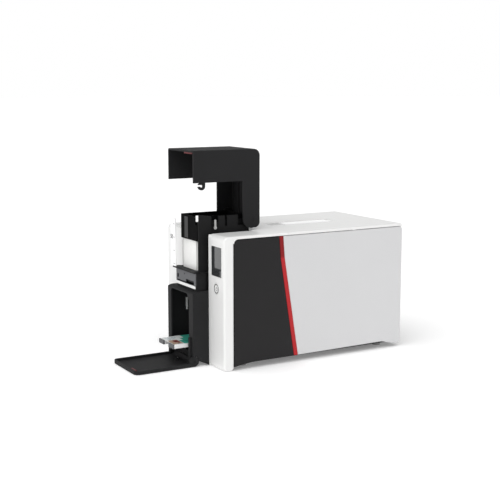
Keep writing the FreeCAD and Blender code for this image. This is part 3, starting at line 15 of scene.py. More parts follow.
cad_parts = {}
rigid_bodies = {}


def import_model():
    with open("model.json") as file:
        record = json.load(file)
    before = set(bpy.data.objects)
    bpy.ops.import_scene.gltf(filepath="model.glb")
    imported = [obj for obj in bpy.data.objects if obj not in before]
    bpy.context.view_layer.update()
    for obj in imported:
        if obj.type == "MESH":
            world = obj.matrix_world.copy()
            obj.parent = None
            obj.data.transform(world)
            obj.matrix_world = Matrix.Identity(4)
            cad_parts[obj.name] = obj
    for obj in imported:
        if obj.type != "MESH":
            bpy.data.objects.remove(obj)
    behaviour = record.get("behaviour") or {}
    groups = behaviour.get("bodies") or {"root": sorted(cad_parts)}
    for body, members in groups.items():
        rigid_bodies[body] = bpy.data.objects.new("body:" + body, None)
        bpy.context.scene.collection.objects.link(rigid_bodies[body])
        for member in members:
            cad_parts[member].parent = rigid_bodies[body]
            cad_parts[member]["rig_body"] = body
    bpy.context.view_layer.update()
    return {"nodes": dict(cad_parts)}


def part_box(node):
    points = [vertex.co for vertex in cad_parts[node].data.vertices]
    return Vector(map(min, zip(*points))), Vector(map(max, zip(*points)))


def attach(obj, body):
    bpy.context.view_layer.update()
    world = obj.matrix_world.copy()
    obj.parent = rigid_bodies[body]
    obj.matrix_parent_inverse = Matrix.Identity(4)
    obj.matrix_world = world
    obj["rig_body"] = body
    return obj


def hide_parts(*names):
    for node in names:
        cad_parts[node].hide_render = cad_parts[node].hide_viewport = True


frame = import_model()
MM = 0.001
scene = bpy.context.scene

# %% [markdown]
# Materials come first. Every finish here is one shader with a pattern under it, so three small
# helpers are enough: one that turns a web colour into linear light, one that adds a node with
# its settings and links, and one that starts a material. Colours are written as sRGB hex, as a
# maker's colour card gives them.

# %% colour and node helpers


def colour(code):
    """Linear red, green, blue and alpha from an sRGB hex code."""
    parts = [int(code[i:i + 2], 16) / 255 for i in (1, 3, 5)]
    return [p / 12.92 if p <= 0.04045 else ((p + 0.055) / 1.055) ** 2.4 for p in parts] + [1.0]


def add(tree, kind, settings=None, **inputs):
    """A node with its settings, its socket values and its links."""
    node = tree.nodes.new(kind)
    for name, value in (settings or {}).items():
        setattr(node, name, value)
    for name, value in inputs.items():
        key = int(name[1:]) if name[1:].isdigit() else name.replace("_", " ")
        socket = node.inputs[key]
        if isinstance(value, bpy.types.NodeSocket):
            tree.links.new(value, socket)
        else:
            socket.default_value = value
    return node


def start(name, **shader):
    """A new material with its shader node, ready for a pattern."""
    made = bpy.data.materials.new(name)
    made.use_nodes = True
    tree = made.node_tree
    body = tree.nodes["Principled BSDF"]
    for key, value in shader.items():
        body.inputs[key.replace("_", " ")].default_value = value
    place = add(tree, "ShaderNodeTexCoord").outputs["Object"]
    return made, tree, body, place


print("middle grey as linear light", [round(part, 3) for part in colour("#808080")])

# %% [markdown]
# Moulded ABS is most of this object. A steel mould is spark eroded, so the plastic copies a fine
# random grain: broad soft highlights, no mirror. Noise drives a bump for it. The real grain is
# about a tenth of a millimetre, too fine to show here, so it is drawn at half a millimetre and
# more. A much larger noise shifts the tone a little, as handling and flow do on real mouldings.
# The white shells are a satin grade with a faint gloss, and the black ones are grained deeper and
# nearly matt, so they keep their tone under a bright sky. A polished mould leaves no grain, only
# a slow ripple: the lid's inlay, the scale plate and the smoked display come from one. Printing
# ink is a thin grey resin, so it is made in the same way.

# %% moulded plastics
FLOW_MM = 60
RIPPLE_MM = 9
RIPPLE_DEPTH_MM = 0.02


def grained(tree, body, place, pitch_mm, depth_mm, detail, strength):
    """Fine relief from noise, at a real pitch and depth. The noise comes back for other uses."""
    noise = add(tree, "ShaderNodeTexNoise", Vector=place, Scale=1 / (pitch_mm * MM), Detail=detail)
    height = noise.outputs["Fac"]
    bump = add(tree, "ShaderNodeBump", Height=height, Distance=depth_mm * MM, Strength=strength)
    tree.links.new(bump.outputs["Normal"], body.inputs["Normal"])
    return height


def moulded(name, code, roughness, grain_mm, depth_mm, shade, coat=0.0, shine=0.5):
    """Moulded plastic. The shade is how much darker its tone gets here and there."""
    made, tree, body, place = start(name, Roughness=roughness, IOR=1.53, Coat_Weight=coat)
    body.inputs["Specular IOR Level"].default_value = shine
    flow = add(tree, "ShaderNodeTexNoise", Vector=place, Scale=1 / (FLOW_MM * MM), Detail=3.0)
    dark = [channel * (1 - shade) for channel in colour(code)[:3]] + [1.0]
    tone = add(tree, "ShaderNodeMix", {"data_type": "RGBA"}, _0=flow.outputs["Fac"], _6=dark)
    tone.inputs[7].default_value = colour(code)
    tree.links.new(tone.outputs[2], body.inputs["Base Color"])
    grained(tree, body, place, grain_mm, depth_mm, detail=2.0, strength=0.6)
    return made


def clear_plastic(name, code, roughness, through):
    """Tinted see-through polycarbonate."""
    made, tree, body, place = start(name, Roughness=roughness, IOR=1.58)
    body.inputs["Transmission Weight"].default_value = through
    body.inputs["Base Color"].default_value = colour(code)
    grained(tree, body, place, RIPPLE_MM, RIPPLE_DEPTH_MM, detail=1.0, strength=0.4)
    return made


# each one: name, colour, roughness, pitch and depth of its grain in millimetres, shade
white_abs = moulded("white_abs_satin", "#EDEDEC", 0.34, 0.5, 0.02, 0.02, coat=0.15)
# this polished white is also painted light: a painted highlight on the lid's inlay and the light
# seen through the hopper's side slot
gloss_white_and_painted_light = moulded("white_abs_polished_and_painted_light", "#FCFCFC", 0.12, 20.0, 0.01, 0.01, coat=0.6)
light_abs = moulded("light_grey_abs_grained", "#D4D4D5", 0.5, 0.6, 0.03, 0.03, shine=0.35)
dark_abs = moulded("charcoal_abs_grained", "#1E1D1E", 0.45, 0.6, 0.04, 0.12, shine=0.2)
black_abs = moulded("black_abs_grained", "#262627", 0.6, 0.6, 0.04, 0.2, shine=0.12)
# the weight's black is deeper than the other blacks: painted shade for its recess under the feeder
# cover
weight_black_painted_shade = moulded("black_abs_fine_matt_painted_shade", "#070708", 0.7, 0.8, 0.03, 0.2, shine=0.05)
# this black is lighter than the black round the ribs: a painted highlight on their raised faces
rib_black_painted_highlight = moulded("black_abs_ribbed_painted_highlight", "#2E2E2F", 0.45, 0.8, 0.03, 0.1, shine=0.3)
black_rough = moulded("black_abs_bare", "#141415", 0.6, 0.8, 0.06, 0.2, shine=0.2)
chassis_abs = moulded("dark_grey_abs_structural", "#232426", 0.6, 0.8, 0.05, 0.15, shine=0.3)
grey_abs = moulded("mid_grey_abs", "#5D5E60", 0.45, 0.5, 0.03, 0.08)
silver_abs = moulded("silver_grey_abs", "#B4B4B2", 0.38, 0.5, 0.02, 0.05)
slot_grey = moulded("slate_grey_abs", "#5E5F62", 0.5, 0.6, 0.03, 0.1, shine=0.3)
glass = moulded("smoked_acrylic_polished", "#333537", 0.08, 40.0, 0.01, 0.05, coat=0.6)
mark_ink = moulded("pad_printed_grey_ink", "#2E2E30", 0.5, 2.0, 0.005, 0.05)
cassette_clear = clear_plastic("blue_tinted_polycarbonate", "#8FB4CE", 0.18, 0.75)
print("moulded plastics ready")

# %% [markdown]
# Rubber is matt and slightly uneven from grinding. Rolled or ground steel shows fine lines round
# its axis, so its noise is stretched: squeezed along one direction and long along the others.
# Extruded aluminium and zinc plated sheet get the same trick with other pitches and colours. The
# lines lie half a millimetre to a millimetre apart, coarser than real ones, so that they show.

# %% rubber and metals
GRIT_MM = 0.4
GRIT_DEPTH_MM = 0.06
LINE_MM = 8
LINE_DEPTH_MM = 0.01
POLISH_CHANGE = 0.08


def ground_rubber(name, code, roughness):
    """Rubber with the uneven skin that a grinding wheel leaves."""
    made, tree, body, place = start(name, Roughness=roughness, IOR=1.5)
    body.inputs["Base Color"].default_value = colour(code)
    grained(tree, body, place, GRIT_MM, GRIT_DEPTH_MM, detail=4.0, strength=0.8)
    return made


def lined_metal(name, code, roughness, stretch):
    """Metal with tool lines: the stretch squeezes the noise across the lines."""
    made, tree, body, place = start(name, Metallic=1.0)
    body.inputs["Base Color"].default_value = colour(code)
    lined = add(tree, "ShaderNodeMapping", Vector=place, Scale=stretch).outputs["Vector"]
    lines = grained(tree, body, lined, LINE_MM, LINE_DEPTH_MM, detail=3.0, strength=0.5)
    soft = add(tree, "ShaderNodeMapRange", Value=lines, To_Min=roughness - POLISH_CHANGE)
    soft.inputs["To Max"].default_value = roughness + POLISH_CHANGE
    tree.links.new(soft.outputs["Result"], body.inputs["Roughness"])
    return made


roller_rubber = ground_rubber("nitrile_rubber_ground", "#1F2022", 0.75)
blue_rubber = ground_rubber("blue_silicone_tacky", "#1E5FA8", 0.35)
foot_rubber = ground_rubber("foot_rubber_light_grey", "#A9A9A8", 0.8)
steel = lined_metal("ground_steel", "#C9C9C7", 0.28, (14, 1, 1))
sheet = lined_metal("zinc_plated_sheet", "#B9BDC0", 0.42, (1, 9, 1))
aluminium = lined_metal("extruded_aluminium", "#C4C6C8", 0.36, (1, 12, 12))
brass = lined_metal("brass_contact", "#D2B25E", 0.3, (1, 1, 6))
print("rubber and metals ready")

# %% [markdown]
# A circuit board is green solder mask over copper: a glossy skin with pale tracks under it. A
# brick pattern draws tracks at right angles, and its joints come out half a millimetre wide, as
# broad tracks are. That is enough behind a lid. The pattern is turned a quarter, so that it lies
# on the main board, which stands along the side.
# Cards are white PVC, pressed between polished plates, so they are smooth with a clear coat.

# %% circuit boards and blank cards
TRACK_MM = 16
TRACK_SHARE = 0.03


def circuit_board():
    """Green solder mask with a net of pale copper tracks under it."""
    made, tree, body, place = start("solder_mask_green", Roughness=0.3, Coat_Weight=0.4)
    turned = add(tree, "ShaderNodeMapping", Vector=place, Rotation=(0, math.pi / 2, 0))
    tracks = add(tree, "ShaderNodeTexBrick", Vector=turned.outputs["Vector"])
    tracks.inputs["Scale"].default_value = 1 / (TRACK_MM * MM)
    tracks.inputs["Color1"].default_value = colour("#0F4A2A")
    tracks.inputs["Color2"].default_value = colour("#125332")
    tracks.inputs["Mortar"].default_value = colour("#3F8A55")
    tracks.inputs["Mortar Size"].default_value = TRACK_SHARE
    tree.links.new(tracks.outputs["Color"], body.inputs["Base Color"])
    return made


board_green = circuit_board()
card_pvc = moulded("white_pvc_card", "#FAFAF8", 0.28, 6.0, 0.01, 0.02, coat=0.4)
print("boards and cards ready")

# %% [markdown]
# The red stripe down each side is a strip of coloured ABS. A crease runs across the sides, and
# the stripe above it lies in shade. That shade is painted: the shader reads the height and makes
# the red deeper above the crease, over a few millimetres. The small red marks in the feeder and
# the door are plain.

# %% red trim
CREASE_MM = 177
CREASE_SOFT_MM = 2


def crease_painted_shade(name, upper_painted_shade, lower, roughness, shine):
    """Flat colour with painted shade: the upper colour above the crease across a side, where the
    face tilts.
    """
    made, tree, body, place = start(name, Roughness=roughness, IOR=1.5)
    body.inputs["Specular IOR Level"].default_value = shine
    height = add(tree, "ShaderNodeSeparateXYZ", Vector=place).outputs["Z"]
    share = add(tree, "ShaderNodeMapRange", Value=height)
    share.inputs["From Min"].default_value = (CREASE_MM - CREASE_SOFT_MM) * MM
    share.inputs["From Max"].default_value = (CREASE_MM + CREASE_SOFT_MM) * MM
    mix = add(tree, "ShaderNodeMix", {"data_type": "RGBA"}, _0=share.outputs["Result"])
    mix.inputs[6].default_value = colour(lower)
    mix.inputs[7].default_value = colour(upper_painted_shade)
    tree.links.new(mix.outputs[2], body.inputs["Base Color"])
    grained(tree, body, place, pitch_mm=0.5, depth_mm=0.02, detail=2.0, strength=0.5)
    return made


# the upper colour is the same red in painted shade, not a second red
red_stripe = crease_painted_shade("signal_red_abs", "#88161A", "#B4262B", 0.4, 0.2)
red_mark = moulded("signal_red_abs_mark", "#5E0E16", 0.4, 0.5, 0.02, 0.08, shine=0.2)
print("red trim ready")

# %% [markdown]
# Now the helpers that make shapes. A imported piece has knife-sharp edges, and nothing moulded is
# sharp, so each piece is copied, its loose triangles are merged, flat areas are joined, and a
# Bevel modifier rounds what is left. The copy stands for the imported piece, which stays hidden
# and unchanged for the motion model. Weighted normals keep the large faces flat to the light
# right up to their rounded edges, and a mesh that has them keeps them.

# %% mesh helpers
WELD_MM = 0.002
SLIVER_MM = 0.03
FLAT_DEGREES = 0.6
ROUND_DEGREES = 32


def as_mesh(form, name):
    """A plain mesh from a mesh in edit, which is freed."""
    mesh = bpy.data.meshes.new(name)
    form.to_mesh(mesh)
    form.free()
    return mesh


def baked(thing):
    """The object's mesh with its modifiers applied, as a plain mesh. The object goes."""
    graph = bpy.context.evaluated_depsgraph_get()
    mesh = bpy.data.meshes.new_from_object(thing.evaluated_get(graph))
    bpy.data.objects.remove(thing)
    return mesh


def merged(node):
    """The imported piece's triangles, joined into whole faces, as a new mesh."""
    form = bmesh.new()
    form.from_mesh(frame["nodes"][node].data)
    bmesh.ops.remove_doubles(form, verts=form.verts, dist=WELD_MM * MM)
    bmesh.ops.dissolve_degenerate(form, edges=form.edges, dist=SLIVER_MM * MM)
    flat = math.radians(FLAT_DEGREES)
    bmesh.ops.dissolve_limit(form, angle_limit=flat, verts=form.verts, edges=form.edges)
    return as_mesh(form, node + "_merged")


def rounded(mesh, edge_mm, segments):
    """The mesh with its corners rounded by a Bevel modifier, applied. Flat areas stay flat."""
    mesh.shade_smooth()
    thing = bpy.data.objects.new("rounding", mesh)
    scene.collection.objects.link(thing)
    bevel = thing.modifiers.new("edge", "BEVEL")
    bevel.width = edge_mm * MM
    bevel.segments = segments
    bevel.limit_method = "ANGLE"
    bevel.angle_limit = math.radians(ROUND_DEGREES)
    bevel.miter_outer = "MITER_ARC"
    thing.modifiers.new("flat_areas", "WEIGHTED_NORMAL")
    return baked(thing)


print("corners over", ROUND_DEGREES, "degrees get rounded")

# %% [markdown]
# Each finished mesh becomes an object at the origin, because the imported pieces are drawn in place
# too. It rides on the body that carries it, so it moves with its joint, and a mesh that stands for
# an imported piece is shown instead of it, while that piece is hidden. Small additions only ride
# along.

# %% placing pieces


def place_piece(mesh, name, finish, body, smooth=40):
    """An object at the origin that rides on a body and has one finish."""
    thing = bpy.data.objects.new(name, mesh)
    scene.collection.objects.link(thing)
    mesh.materials.clear()
    mesh.materials.append(finish)
    if not mesh.has_custom_normals:
        mesh.shade_smooth()
        mesh.set_sharp_from_angle(angle=math.radians(smooth))
    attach(thing, body)
    return thing


def dress_with(node, mesh, finish, smooth=40):
    """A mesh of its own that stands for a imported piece."""
    body = frame["nodes"][node]["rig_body"]
    thing = place_piece(mesh, node + "_piece", finish, body, smooth)
    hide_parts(node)


def dress(node, finish, edge_mm, segments):
    """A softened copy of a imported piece, in its finish, standing for that piece."""
    dress_with(node, rounded(merged(node), edge_mm, segments), finish)


def dress_all(pieces):
    """Every node of a table, with its finish, its edge radius and the steps of that radius."""
    for node, (finish, edge_mm, segments) in pieces.items():
        dress(node, finish, edge_mm, segments)


def fit(mesh, name, node, finish):
    """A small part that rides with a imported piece, beside it."""
    place_piece(mesh, name, finish, frame["nodes"][node]["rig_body"])


# %% [markdown]
# The outer case: white columns and deck, a white lid, dark and light side panels with a red
# stripe between them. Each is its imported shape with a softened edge, and the radius follows how
# such a moulding is made: about a millimetre on the big shells, less on small parts.

# %% the case
CASE = {
    "front_cover": (white_abs, 0.8, 3),
    "top_lid": (white_abs, 0.5, 2),
    "left_front_panel": (dark_abs, 1.2, 3),
    "right_front_panel": (dark_abs, 1.2, 3),
    "left_stripe": (red_stripe, 0.6, 2),
    "right_stripe": (red_stripe, 0.6, 2),
    "left_rear_panel": (light_abs, 1.2, 3),
    "right_rear_panel": (light_abs, 1.2, 3),
    "base_chassis": (chassis_abs, 0.3, 1),
    "lid_release_button": (white_abs, 0.6, 3),
}
dress_all(CASE)
print("case pieces", len(CASE))

# %% [markdown]
# The feeder holds blank cards under a cover that tilts open, and the hopper below it catches
# printed ones behind a door. Both are black mouldings with white, grey and red trim. The weight
# that presses on the stack has generous rounds, because a hand lifts it for every refill. The
# rollers and the feet are rubber.

# %% the feeder, hopper and door
FEEDER = {
    "feeder_cover": (black_abs, 0.9, 3),
    "feeder_frame": (black_rough, 0.3, 2),
    "hopper_box": (black_abs, 0.5, 2),
    "hopper_door": (black_abs, 0.6, 2),
    "slot_block": (black_rough, 0.3, 1),
    "card_weight": (weight_black_painted_shade, 1.6, 3),
    "card_guide_strip": (white_abs, 0.3, 2),
    "gauge_lever": (silver_abs, 0.3, 2),
    "output_tray": (white_abs, 0.6, 3),
    "tray_pads": (grey_abs, 0.4, 2),
    "cover_accent": (red_mark, 0.3, 2),
    "door_accent": (red_mark, 0.3, 2),
    "slot_roller": (roller_rubber, 0.2, 1),
    "pick_roller": (roller_rubber, 0.4, 2),
    "rubber_feet": (foot_rubber, 0.6, 2),
}
dress_all(FEEDER)
print("feeder, hopper and door pieces", len(FEEDER))

# %% [markdown]
# Inside, two plated sheet frames carry ground steel shafts with rubber rollers, and there are a
# motor with its belt, the print head under an aluminium heat sink, and the boards. They show
# only with the lid open, so small bevels of one or two steps are enough. The table begins with
# the display and the power button, which close two holes in the front.

# %% the inside
INSIDE = {
    "display_window": (glass, 0.3, 2),
    "power_button": (white_abs, 0.5, 3),
    "front_board": (board_green, 0.15, 1),
    "main_board": (board_green, 0.15, 1),
    "rear_sockets": (black_rough, 0.2, 1),
    "left_frame_plate": (sheet, 0.1, 1),
    "right_frame_plate": (sheet, 0.1, 1),
    "drive_motor": (black_rough, 0.4, 2),
    "print_head": (grey_abs, 0.3, 2),
    "head_heat_sink": (aluminium, 0.15, 1),
    "ribbon_cassette": (cassette_clear, 0.4, 2),
    "infeed_roller": (roller_rubber, 0.3, 2),
    "platen_roller": (roller_rubber, 0.3, 2),
    "exit_roller": (roller_rubber, 0.3, 2),
    "infeed_pinch_roller": (grey_abs, 0.2, 2),
    "exit_pinch_roller": (grey_abs, 0.2, 2),
    "cleaning_roller": (blue_rubber, 0.3, 2),
    "infeed_shaft": (steel, 0.3, 1),
    "platen_shaft": (steel, 0.3, 1),
    "exit_shaft": (steel, 0.3, 1),
    "motor_shaft": (steel, 0.3, 1),
    "pick_shaft": (steel, 0.2, 1),
    "cover_hinge_pins": (black_abs, 0.2, 1),
    "door_pins": (black_abs, 0.2, 1),
    "lid_hinge_pins": (steel, 0.1, 1),
    "drive_belt": (roller_rubber, 0.2, 1),
}
dress_all(INSIDE)
print("window, button and inner pieces", len(INSIDE))

# %% [markdown]
# Many small things repeat in a printer: cards in the stack, vent slots, teeth on the belt, pins in
# a socket. Each is drawn once and a node tree lays out the copies in a straight row, with a
# little random shift where hands or play cause one. The tree has named inputs, so one tree does
# every row, and its result becomes a plain mesh at once.

# %% rows of copies
row_tree = bpy.data.node_groups.new("row_of_copies", "GeometryNodeTree")
for label, kind in (
    ("Piece", "NodeSocketObject"),
    ("Count", "NodeSocketInt"),
    ("Step", "NodeSocketVector"),
    ("Jitter", "NodeSocketVector"),
    ("Seed", "NodeSocketInt"),
    ("Finish", "NodeSocketMaterial"),
):
    row_tree.interface.new_socket(label, in_out="INPUT", socket_type=kind)
row_tree.interface.new_socket("Row", in_out="OUTPUT", socket_type="NodeSocketGeometry")
given = row_tree.nodes.new("NodeGroupInput").outputs
one = add(row_tree, "GeometryNodeObjectInfo", Object=given["Piece"]).outputs["Geometry"]
line = add(row_tree, "GeometryNodeMeshLine", Count=given["Count"], Offset=given["Step"])
laid = add(row_tree, "GeometryNodeInstanceOnPoints", Points=line.outputs["Mesh"], Instance=one)
back = add(row_tree, "ShaderNodeVectorMath", {"operation": "SCALE"}, _0=given["Jitter"])
back.inputs["Scale"].default_value = -1.0
chance = add(row_tree, "FunctionNodeRandomValue", {"data_type": "FLOAT_VECTOR"})
row_tree.links.new(back.outputs[0], chance.inputs[0])
row_tree.links.new(given["Jitter"], chance.inputs[1])
row_tree.links.new(given["Seed"], chance.inputs["Seed"])
moved = add(row_tree, "GeometryNodeTranslateInstances", Instances=laid.outputs["Instances"])
row_tree.links.new(chance.outputs["Value"], moved.inputs["Translation"])
real = add(row_tree, "GeometryNodeRealizeInstances", Geometry=moved.outputs["Instances"])
painted = add(row_tree, "GeometryNodeSetMaterial", Geometry=real.outputs["Geometry"])
row_tree.links.new(given["Finish"], painted.inputs["Material"])
result = row_tree.nodes.new("NodeGroupOutput")
row_tree.links.new(painted.outputs["Geometry"], result.inputs["Row"])
print("row tree with", len(row_tree.nodes), "nodes")

# %% [markdown]
# To use the tree, a modifier on an empty mesh gets a value for each named input. A modifier knows
# its inputs by identifier, so the labels are looked up in the tree. Blocks, joined meshes and
# cuts complete the set of tools for the small parts, and each is placed by an offset from a
# corner of the piece that carries it.

# %% shape helpers


def row(piece, count, step_mm, finish, jitter_mm=(0, 0, 0), seed=1):
    """Copies of a mesh in a straight row, as one plain mesh."""
    source = bpy.data.objects.new("one", piece)
    holder = bpy.data.objects.new("row", bpy.data.meshes.new("row"))
    for thing in (source, holder):
        scene.collection.objects.link(thing)
    modifier = holder.modifiers.new("row", "NODES")
    modifier.node_group = row_tree
    settings = {
        "Piece": source,
        "Count": count,
        "Step": [part * MM for part in step_mm],
        "Jitter": [part * MM for part in jitter_mm],
        "Seed": seed,
        "Finish": finish,
    }
    for socket in row_tree.interface.items_tree:
        if socket.in_out == "INPUT":
            modifier[socket.identifier] = settings[socket.name]
    mesh = baked(holder)
    bpy.data.objects.remove(source)
    return mesh


def from_corner(corner, offset_mm):
    """A place given by a corner in metres and an offset from it in millimetres."""
    return Vector([part + offset * MM for part, offset in zip(corner, offset_mm)])


def box_form(low, high):
    """A box between two corners in metres, still in edit."""
    form = bmesh.new()
    middle = (Vector(low) + Vector(high)) / 2
    size = Vector(high) - Vector(low)
    bmesh.ops.create_cube(form, matrix=Matrix.Translation(middle) @ Matrix.Diagonal((*size, 1.0)))
    return form


def soften(form, edges, offset_mm, segments):
    """Some edges of a mesh in edit, rounded."""
    offset = offset_mm * MM
    bmesh.ops.bevel(form, geom=edges, offset=offset, segments=segments, affect="EDGES")


def block(low, high, round_mm=0.0, segments=2):
    """A box between two corners in metres, with rounded edges if it has a radius."""
    form = box_form(low, high)
    if round_mm:
        soften(form, form.edges[:], round_mm, segments)
    return as_mesh(form, "block")


def joined(meshes):
    """Several meshes as one."""
    form = bmesh.new()
    for mesh in meshes:
        form.from_mesh(mesh)
    return as_mesh(form, "joined")


def carved(mesh, cutter):
    """The mesh with the cutter's shape taken out of it."""
    things = [bpy.data.objects.new("carve", each) for each in (mesh, cutter)]
    for thing in things:
        scene.collection.objects.link(thing)
    cut = things[0].modifiers.new("cut", "BOOLEAN")
    cut.operation = "DIFFERENCE"
    cut.solver = "EXACT"
    cut.object = things[1]
    result = baked(things[0])
    bpy.data.objects.remove(things[1])
    return result


print("named inputs of a row", len(row_tree.interface.items_tree) - 1)

# %% [markdown]
# Blank cards stand in the feeder: white PVC, 0.76 mm thick, with the 3.18 mm corners that every
# card of this kind has. They are punched to size, so they are all alike, and no stack is ever
# quite square: the jitter is a tenth of a millimetre. One card is drawn, and the row makes the
# stack. A little air between the cards draws the fine lines of the stack.

# %% cards in the feeder
CARD_MM = 0.76
CORNER_MM = 3.18
CLIMB_MM = 0.1
RIM_MM = 0.09
RIM_TURN = 0.5
AIR_MM = 0.03
JITTER_MM = (0.09, 0.09, 0)
JITTER_ROOM_MM = Vector((0.1, 0.1, 0))


def card_form(low, high, thick_mm):
    """One card with its rounded corners and softened edges."""
    form = box_form(low, (high.x, high.y, low.z + thick_mm * MM))

    def climb(edge):
        return abs(edge.verts[0].co.z - edge.verts[1].co.z)

    def turn(edge):
        return abs(edge.link_faces[0].normal.z - edge.link_faces[1].normal.z)

    upright = [edge for edge in form.edges if climb(edge) > CLIMB_MM * MM]
    soften(form, upright, CORNER_MM, segments=5)
    level = [edge for edge in form.edges if climb(edge) < CLIMB_MM * MM]
    rim = [edge for edge in level if len(edge.link_faces) == 2 and turn(edge) > RIM_TURN]
    soften(form, rim, RIM_MM, segments=1)
    return as_mesh(form, "card")


stack_low, stack_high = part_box("card_stack")
cards = round((stack_high.z - stack_low.z) / (CARD_MM * MM))
pitch_mm = (stack_high.z - stack_low.z) / cards / MM
inset = JITTER_ROOM_MM * MM
one_card = card_form(stack_low + inset, stack_high - inset, pitch_mm - AIR_MM)
stack = row(one_card, cards, (0, 0, pitch_mm), card_pvc, JITTER_MM, seed=7)
dress_with("card_stack", stack, card_pvc, smooth=30)
print(cards, "cards at", round(pitch_mm, 3), "mm")

# %% [markdown]
# The last printed card lies in the tray. A dyed picture under a clear overlay is flat, so it is
# pure colour with a coat over it. Plain blocks make the design: a few fine lines of no words, a
# tan box with two dark marks, and a teal field that steps round them. Each block is a test in
# the shader for a place on the card, which stays sharp at any size.

# %% the printed card


def patched(name, ground, patches, roughness):
    """Flat areas of colour on a card: each has its code and its reach in x and in y."""
    made, tree, body, place = start(name, Roughness=roughness, Coat_Weight=0.4)
    axes = add(tree, "ShaderNodeSeparateXYZ", Vector=place)
    tone = colour(ground)
    for code, (x_low, x_high), (y_low, y_high) in patches:
        inside = None
        for axis, low, high in (("X", x_low, x_high), ("Y", y_low, y_high)):
            away = add(tree, "ShaderNodeMath", {"operation": "SUBTRACT"}, _0=axes.outputs[axis])
            away.inputs[1].default_value = (low + high) / 2 * MM
            size = add(tree, "ShaderNodeMath", {"operation": "ABSOLUTE"}, _0=away.outputs[0])
            near = add(tree, "ShaderNodeMath", {"operation": "LESS_THAN"}, _0=size.outputs[0])
            near.inputs[1].default_value = (high - low) / 2 * MM
            if inside:
                both = add(tree, "ShaderNodeMath", {"operation": "MULTIPLY"}, _0=inside)
                tree.links.new(near.outputs[0], both.inputs[1])
                inside = both.outputs[0]
            else:
                inside = near.outputs[0]
        mix = add(tree, "ShaderNodeMix", {"data_type": "RGBA"}, _0=inside, _6=tone)
        mix.inputs[7].default_value = colour(code)
        tone = mix.outputs[2]
    tree.links.new(tone, body.inputs["Base Color"])
    return made


# each area: its colour and its reach in x and in y, in millimetres from the card's low corner
DESIGN = (
    ("#9FB4BE", (5, 22), (5, 6.5)),
    ("#8FA6B4", (5, 20), (9, 10.5)),
    ("#A8B6BE", (5, 23), (13, 14)),
    ("#93A9B8", (5, 17), (17, 18.5)),
    ("#9FB4BE", (5, 15), (21, 22.5)),
    ("#B9A08C", (24, 51), (0.8, 18)),
    ("#7C3B3A", (27, 40), (8, 18)),
    ("#54242A", (44, 49), (10, 14)),
    ("#3FA08C", (30, 54), (19, 54)),
    ("#3FA08C", (16, 30), (27, 54)),
    ("#3FA08C", (0, 16), (35, 54)),
    ("#2E8E7C", (34, 48), (26, 38)),
    ("#6FBFB0", (0, 54), (54, 57)),
)
card_low, card_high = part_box("printed_card")
corner_x_mm = card_low.x / MM
corner_y_mm = card_low.y / MM
areas = [
    (code, (corner_x_mm + x[0], corner_x_mm + x[1]), (corner_y_mm + y[0], corner_y_mm + y[1]))
    for code, x, y in DESIGN
]
card_print = patched("pvc_card_dye_printed", "#E4E7E6", areas, 0.25)
printed_form = card_form(card_low, card_high, (card_high.z - card_low.z) / MM)
dress_with("printed_card", printed_form, card_print, smooth=30)
print("printed card with", len(DESIGN), "areas")

# %% [markdown]
# The ribbon is a thin film with panels of yellow, magenta, cyan, black and clear overlay, one set
# for each card. It is wound on two plastic cores. On the rolls the panels show as fine rings, so
# the rolls get rings of those colours by radius, and the flat film shows the panels side by side.
# A turn of real film is far too thin to show, so each ring drawn here stands for many turns.

# %% ribbon
PANELS = (("#E8C21A", 0.0), ("#B81F6E", 0.2), ("#1C84B8", 0.4), ("#18181A", 0.6), ("#B8C4CA", 0.8))
RING_MM = 3.1


def show_panels(tree, body, share, blend):
    """The panel colours on a skin, picked by a share from 0 to 1 of one set of panels."""
    ramp = add(tree, "ShaderNodeValToRGB", Fac=share)
    ramp.color_ramp.interpolation = blend
    stops = ramp.color_ramp.elements
    while len(stops) < len(PANELS):
        stops.new(1.0)
    for stop, (code, begin) in zip(stops, PANELS):
        stop.position = begin
        stop.color = colour(code)
    tree.links.new(ramp.outputs["Color"], body.inputs["Base Color"])


def flat_film(name, low, high):
    """The panels side by side along the film, with sharp borders."""
    made, tree, body, place = start(name, Roughness=0.2, Coat_Weight=0.3)
    along = add(tree, "ShaderNodeSeparateXYZ", Vector=place).outputs["Y"]
    share = add(tree, "ShaderNodeMapRange", Value=along, From_Min=low.y, From_Max=high.y)
    show_panels(tree, body, share.outputs["Result"], "CONSTANT")
    return made


def wound_film(name, low, high):
    """Rings of the panel colours about a roll's axis, in its end faces and on its skin."""
    made, tree, body, place = start(name, Roughness=0.3, Coat_Weight=0.2)
    moved = add(tree, "ShaderNodeVectorMath", {"operation": "SUBTRACT"}, _0=place)
    moved.inputs[1].default_value = (low + high) / 2
    across = add(tree, "ShaderNodeVectorMath", {"operation": "MULTIPLY"}, _0=moved.outputs[0])
    across.inputs[1].default_value = (0, 1, 1)
    far = add(tree, "ShaderNodeVectorMath", {"operation": "LENGTH"}, _0=across.outputs[0])
    turns = add(tree, "ShaderNodeMath", {"operation": "MULTIPLY"}, _0=far.outputs["Value"])
    turns.inputs[1].default_value = 1 / (RING_MM * MM)
    part = add(tree, "ShaderNodeMath", {"operation": "FRACT"}, _0=turns.outputs[0])
    show_panels(tree, body, part.outputs[0], "LINEAR")
    return made


film_finish = flat_film("dye_film_panels", *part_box("ribbon_film"))
dress_with("ribbon_film", merged("ribbon_film"), film_finish)
for node in ("supply_spool", "takeup_spool"):
    dress(node, wound_film(node + "_wound_film", *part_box(node)), edge_mm=0.3, segments=1)
print("ribbon with", len(PANELS), "panels")

# %% [markdown]
# The back is a plain dark moulding. Its vents let the print head's heat out: two rows of upright
# slots, moulded through the wall. They are real holes here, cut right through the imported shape
# with two rows of cutters.

